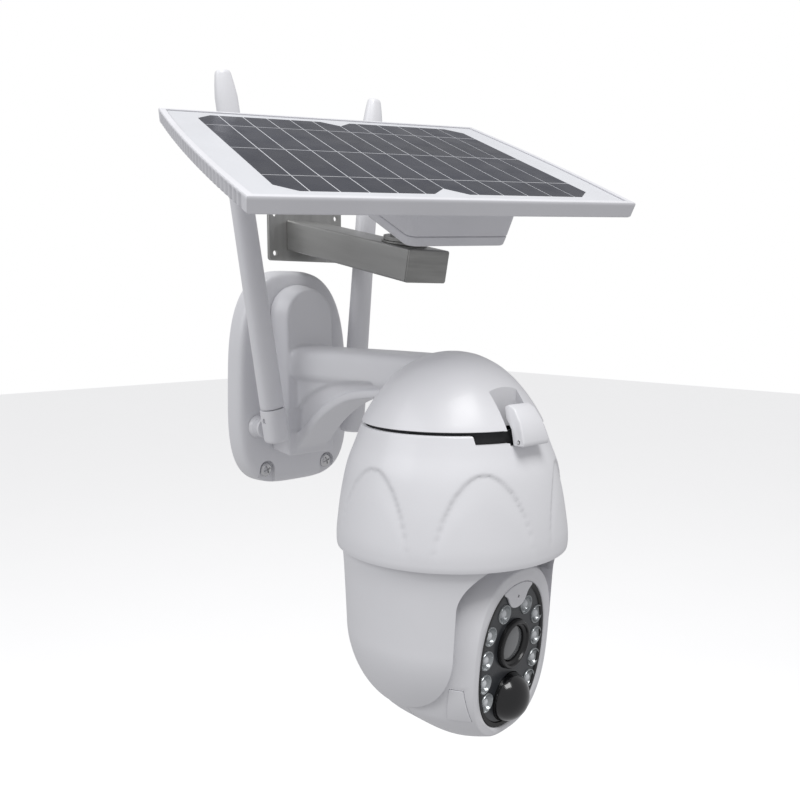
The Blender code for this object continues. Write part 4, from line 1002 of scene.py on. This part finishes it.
def make_pir():
    place = FACING @ Matrix.Translation((0, PIR_Z * MM, 0))
    outline = [(10.2, 30.4), (12.0, 30.4), (12.0, 35.0), (PIR_RADIUS, 37.9)]
    for k in range(33):
        angle = math.pi / 2 * k / 32
        r = 0 if k == 32 else PIR_RADIUS * math.cos(angle)
        outline.append((r, 41.2 + 12.4 * math.sin(angle)))
    for k in range(12, -1, -1):
        angle = math.pi / 2 * k / 12
        r = 0 if k == 12 else (PIR_RADIUS - 1.8) * math.cos(angle)
        outline.append((r, 41.2 + 10.4 * math.sin(angle)))
    dome = turned("pir_dome_fine", in_mm(outline), BLACK, 96, place, 40)
    stands_for(dome, "tilt_head", "black_plastic", "pir_dome")


# Panel bracket

TUBE_AT = Vector((18.5, 0, 96.8)) * MM  # where the tube's centre line meets the wall
TUBE_HALF = (16.5, 9.9)
TUBE_WALL = 1.6
TUBE_REACH = 122.0 * MM
RAKE = math.radians(11.5)
TUBE = Matrix.Translation(TUBE_AT) @ Matrix.Rotation(RAKE, 4, "X")
TUBE_FRONT = -TUBE_REACH / math.cos(RAKE)
FLANGE_HALF = (31 * MM, 18 * MM)
FLANGE_THICKNESS = 2.5 * MM
FLANGE_HOLE = (26, 13)


def tube_ring(y, inset, radius, steps=6):
    half_x, half_z = ((half - inset) * MM for half in TUBE_HALF)
    return [(x, y, z) for x, z in rounded_box_outline(half_x, half_z, radius * MM, steps=steps)]


def make_bracket():
    outline = rounded_box_outline(*FLANGE_HALF, 2.2 * MM)
    place = along_front(TUBE_AT)
    flange = prism(
        "bracket_flange_fine", outline, 0, FLANGE_THICKNESS, BRUSHED, place, smooth=False
    )
    bevel(flange, 0.4 * MM, 3, 50)
    holes = []
    for sx in (-1, 1):
        for sz in (-1, 1):
            at = TUBE_AT + Vector((sx * FLANGE_HOLE[0], 0, sz * FLANGE_HOLE[1])) * MM
            holes.append(prism("hole", circle(1.9 * MM, 32), -2 * MM, 6 * MM, place=along_front(at)))
    cut(flange, *holes)
    stands_for(flange, "root", "steel", "bracket_flange")
    ends = (TUBE_FRONT, 10 * MM)
    tube = loft("bracket_tube_fine", [tube_ring(y, 0, 1.5) for y in ends], BRUSHED, TUBE, 30)
    ends = (TUBE_FRONT - 5 * MM, 20 * MM)
    inside = loft("inside", [tube_ring(y, TUBE_WALL, 0.8, 4) for y in ends], None, TUBE)
    wall = box("wall", (-60 * MM, -2.8 * MM, 0), (90 * MM, 40 * MM, 180 * MM))
    cut(tube, inside, wall, sharp=30)
    stands_for(tube, "root", "steel", "bracket_tube")
    levels = ((-1.6, 0.9), (-1.45, 0.45), (-1.1, 0.1), (-0.8, 0.0), (-0.3, 0.0))
    rings = [tube_ring(TUBE_FRONT + y * MM, s, max(0.4, 1.5 - s)) for y, s in levels]
    plug = loft("tube_plug_fine", rings, END_STEEL, TUBE, 30)
    inset = TUBE_WALL + GAP
    rings = [tube_ring(TUBE_FRONT + y * MM, inset, 0.8, 8) for y in (-0.7, 9)]
    body = loft("body", rings, None, TUBE)
    boolean(plug, body, "UNION")
    bake(plug)
    stands_for(plug, "root", "steel", "tube_plug")


# Panel


PANEL_CENTRE = Vector((-33.0, -144.0, 129.1)) * MM
PANEL_YAW, PANEL_TILT, PANEL_ROLL = (math.radians(a) for a in (15.0, 22.5, 2.3))
PANEL_HALF = (101.0, 84.25)
BULGE = 3.0
FLUTES = 30


def panel_matrix():
    turn = Matrix.Rotation(-PANEL_YAW, 3, "Z") @ Matrix.Rotation(PANEL_TILT, 3, "X")
    turn = turn @ Matrix.Rotation(-PANEL_ROLL, 3, "Y")
    return Matrix.Translation(PANEL_CENTRE) @ turn.to_4x4()


PANEL = panel_matrix()


def panel_outline(inset, flute=0.0, count=272):
    """Straight long sides and bowed short ends, whose outside can carry vertical flutes."""
    half_u, half_v = PANEL_HALF[0] - inset, PANEL_HALF[1] - inset
    points = []
    for side in (1, -1):
        for k in range(count + 1):
            share = -1 + 2 * k / count
            dip = 0.0
            if flute and 0.03 < k / count < 0.97:
                wave = (k / count * FLUTES) % 1.0
                dip = flute * (0.5 - 0.5 * math.cos(2 * math.pi * wave)) ** 1.5
            points.append(
                (side * (half_u + BULGE * (1 - share**2) - dip) * MM, side * share * half_v * MM)
            )
    return points


def make_panel_frame():
    levels = ((-8.2, 2.3, 0.0), (-8.0, 1.5, 0.6), (-7.2, 0.6, 1.9), (-1.9, 0.05, 1.9))
    levels += ((-1.5, 0.0, 0.3), (-0.6, 0.0, 0.0), (-0.1, 0.35, 0.0), (0.0, 0.8, 0.0))
    frame_piece = loft(
        "panel_frame_fine",
        [[(u, v, h * MM) for u, v in panel_outline(i, f)] for h, i, f in levels],
        FRAME_WHITE,
        PANEL,
        38,
    )
    rebate = prism("rebate", panel_outline(3.2, 0.0, 40), -3.0 * MM, 3 * MM, place=PANEL)
    wiring = box("wiring", (47 * MM, 23.5 * MM, -12 * MM), (59 * MM, 31.5 * MM, 0), place=PANEL)
    cut(frame_piece, rebate, wiring, sharp=38)
    stands_for(frame_piece, "panel", "white_plastic", "panel_frame")


CELL_U = 84.2
CELL_V = 73.8
STRIPS = 6  # in each of the two blocks
STRIP_GAP = 0.35
CHAMFER = 9.0
LINE_INSET = (3.25, 3.75)
RIBBON_HALF = 0.28
RIBBON_END = 0.4


def strip_outline(low, high, left_end, right_end):
    """One cell strip, whose outer corners are cut off where its block of strips ends."""
    cut_width = min(CHAMFER, high - low)
    shoulder = CELL_V - CHAMFER
    points = []
    if left_end:
        points += [(low, shoulder), (low + cut_width, CELL_V)]
    else:
        points += [(low, CELL_V)]
    if right_end:
        points += [(high - cut_width, CELL_V), (high, shoulder)]
        points += [(high, -shoulder), (high - cut_width, -CELL_V)]
    else:
        points += [(high, CELL_V), (high, -CELL_V)]
    if left_end:
        points += [(low + cut_width, -CELL_V), (low, -shoulder)]
    else:
        points += [(low, -CELL_V)]
    return [(u * MM, v * MM) for u, v in reversed(points)]


def make_laminate():
    """White backsheet with two blocks of dark cell strips, their ribbons and a thin grey line of painted
    frame shadow just inside the frame.
    """
    sheet = prism("sheet", panel_outline(3.5, 0.0, 40), -2.7 * MM, -0.55 * MM, BACKSHEET)
    # The grey ring just inside the frame is painted shadow of the frame on the backsheet.
    data = bmesh.new()
    outer, inner = (
        [data.verts.new((u, v, -0.5 * MM)) for u, v in panel_outline(inset, 0.0, 40)]
        for inset in LINE_INSET
    )
    for i in range(len(outer)):
        j = (i + 1) % len(outer)
        data.faces.new((outer[i], outer[j], inner[j], inner[i]))
    pieces = [sheet, finish_mesh("line", data, PAINTED_FRAME_SHADOW, False)]
    strip = CELL_U / STRIPS
    for start in (-CELL_U, 0.0):
        for k in range(STRIPS):
            low = start + k * strip + STRIP_GAP
            high = low + strip - 2 * STRIP_GAP
            outline = strip_outline(low, high, k == 0, k == STRIPS - 1)
            pieces.append(prism("cell", outline, -0.6 * MM, -0.44 * MM, CELL, smooth=False))
    for v in (-CELL_V * 2 / 3, 0.0, CELL_V * 2 / 3):
        for start in (-CELL_U, 0.0):
            low = ((start + RIBBON_END) * MM, (v - RIBBON_HALF) * MM, -0.5 * MM)
            high = ((start + CELL_U - RIBBON_END) * MM, (v + RIBBON_HALF) * MM, -0.41 * MM)
            pieces.append(box("ribbon", low, high, BUSBAR))
    laminate = joined("solar_laminate_fine", pieces)
    laminate.matrix_world = PANEL
    stands_for(laminate, "panel", "solar_cells", "solar_laminate")


BOX_TOP = -8.5
LID_TOP = -45.4
BOX_BOTTOM = -51.0
BOX_CENTRE = (53 * MM, 27.5 * MM)
BOX_BOTTOM_HALF = (33.6, 30.0)
BOX_FLARE = (4.0, 5.0)  # how much wider each half is at the top than at the bottom
BOX_CORNER = 5.5
TILT_PIN = Vector((17.272, -104.869, 99.795)) * MM


def box_ring(share, h, inset=0.0, steps=10):
    half_u, half_v = (
        (half + flare * share - inset) * MM for half, flare in zip(BOX_BOTTOM_HALF, BOX_FLARE)
    )
    corner = (BOX_CORNER - min(inset, 3)) * MM
    outline = rounded_box_outline(half_u, half_v, corner, BOX_CENTRE, steps)
    return [(u, v, h * MM) for u, v in outline]


def box_level(h, inset=0.0):
    return box_ring((h - BOX_BOTTOM) / (BOX_TOP - BOX_BOTTOM), h, inset)


def around_pin(name, pin, half_u, half_v, low, high):
    return box(
        name, (pin.x - half_u, pin.y - half_v, low), (pin.x + half_u, pin.y + half_v, high), place=PANEL
    )


def make_battery_box():
    levels = ((LID_TOP + GAP, 0.5), (LID_TOP + 0.8, 0.0), (-30, 0), (BOX_TOP - 0.6, 0), (BOX_TOP, 0.5))
    case = loft("battery_case_fine", [box_level(h, i) for h, i in levels], FRAME_WHITE, PANEL, 40)
    levels = (LID_TOP - 2, -30, BOX_TOP - WALL)
    hollow = loft("hollow", [box_level(h, WALL) for h in levels], None, PANEL)
    wire = box("wire", (47 * MM, 23.5 * MM, -14 * MM), (59 * MM, 31.5 * MM, 0), place=PANEL)
    cut(case, hollow, wire, sharp=40)
    stands_for(case, "panel", "white_plastic", "battery_case")
    pin = PANEL.inverted() @ TILT_PIN
    rings = [box_ring(-0.12, BOX_BOTTOM), box_ring(-0.04, BOX_BOTTOM + 0.4)]
    rings += [box_ring(0.0, BOX_BOTTOM + 1.4), box_level(LID_TOP - 0.5), box_level(LID_TOP, 0.5)]
    lid = loft("battery_lid_fine", rings, FRAME_WHITE, PANEL, 40)
    cup = around_pin("cup", pin, 14 * MM, 15 * MM, -46 * MM, -34 * MM)
    pocket = around_pin("pocket", pin, 11 * MM, 12.5 * MM, -60 * MM, -36 * MM)
    tongue = around_pin("tongue", pin, 4.8 * MM, 4 * MM, pin.z - 3.6 * MM, -35 * MM)
    hole = prism("hole", circle(2.1 * MM, 32), -9 * MM, 9 * MM, place=PANEL @ along_x(pin))
    boolean(lid, cup, "UNION")
    boolean(lid, pocket, "DIFFERENCE")
    boolean(lid, tongue, "UNION")
    cut(lid, hole, sharp=40)
    stands_for(lid, "panel", "white_plastic", "battery_lid")


make_wall_plate()
make_screw(-1, "plate_screw_left")
make_screw(1, "plate_screw_right")
make_arm()
make_antenna(-1, "left", LEFT_LEAN)
make_antenna(1, "right", RIGHT_LEAN)
make_cap()
make_shell()
make_latch()
make_bowl()
make_housing()
make_face()
make_lens()
make_pir()
make_bracket()
make_panel_frame()
make_laminate()
make_battery_box()


# Floor, light and camera


FLOOR_Z = -0.62
FLOOR_HALF = 6.0
FLOOR_GLOW = 0.42
LIGHT_TARGET = (0, -0.12, -0.02)
AMBIENT = 0.47
HALF_WIDTH = 400  # of the picture, in the unit of the focal length
FOCAL_LENGTH = 850
SEAT = Vector((-339.9, -488.3, 51.1)) * MM
AIM = Vector((-1.2, -120.0, -6.8)) * MM


def make_stage():
    data = bmesh.new()
    bmesh.ops.create_grid(data, x_segments=24, y_segments=24, size=FLOOR_HALF)
    made = plain("pale_floor", (0.90, 0.90, 0.90), 0.8, spread=0.004, cloud=2.0)
    shader = made.node_tree.nodes["Principled BSDF"]
    shader.inputs["Emission Color"].default_value = (1, 1, 1, 1)
    shader.inputs["Emission Strength"].default_value = FLOOR_GLOW
    floor = finish_mesh("floor", data, made)
    floor.matrix_world = Matrix.Translation((0, 0, FLOOR_Z))
    floor.visible_diffuse = False
    floor.visible_glossy = False


def area_light(name, at, target, size, power, color=(1, 1, 1)):
    light = bpy.data.lights.new(name, "AREA")
    light.energy = power
    light.size = size
    light.color = color
    obj = bpy.data.objects.new(name, light)
    obj.matrix_world = Matrix.Translation(at) @ (
        (Vector(target) - Vector(at)).to_track_quat("-Z", "Y").to_matrix().to_4x4()
    )
    bpy.context.scene.collection.objects.link(obj)


make_stage()
area_light("key_from_above", (-0.25, -0.75, 1.30), LIGHT_TARGET, 0.8, 14.5)
area_light("front_fill", (-1.1, 0.25, 0.75), LIGHT_TARGET, 0.9, 5.0, (0.97, 0.98, 1.0))

world = bpy.data.worlds.new("studio")
world.use_nodes = True
tree = world.node_tree
ambient = tree.nodes["Background"]
ambient.inputs["Color"].default_value = (0.98, 0.98, 1.0, 1)
ambient.inputs["Strength"].default_value = AMBIENT
backdrop = tree.nodes.new("ShaderNodeBackground")
backdrop.inputs["Color"].default_value = (1, 1, 1, 1)
path = tree.nodes.new("ShaderNodeLightPath")
choice = tree.nodes.new("ShaderNodeMixShader")
tree.links.new(path.outputs["Is Camera Ray"], choice.inputs["Fac"])
tree.links.new(ambient.outputs["Background"], choice.inputs[1])
tree.links.new(backdrop.outputs["Background"], choice.inputs[2])
tree.links.new(choice.outputs["Shader"], tree.nodes["World Output"].inputs["Surface"])
bpy.context.scene.world = world
bpy.context.scene.view_settings.view_transform = "Standard"

camera = bpy.data.cameras.new("camera")
camera.angle = 2 * math.atan(HALF_WIDTH / FOCAL_LENGTH)
camera.clip_start = 0.01
camera_object = bpy.data.objects.new("camera", camera)
turn = (AIM - SEAT).to_track_quat("-Z", "Y").to_matrix().to_4x4()
camera_object.matrix_world = Matrix.Translation(SEAT) @ turn
bpy.context.scene.collection.objects.link(camera_object)
bpy.context.scene.camera = camera_object
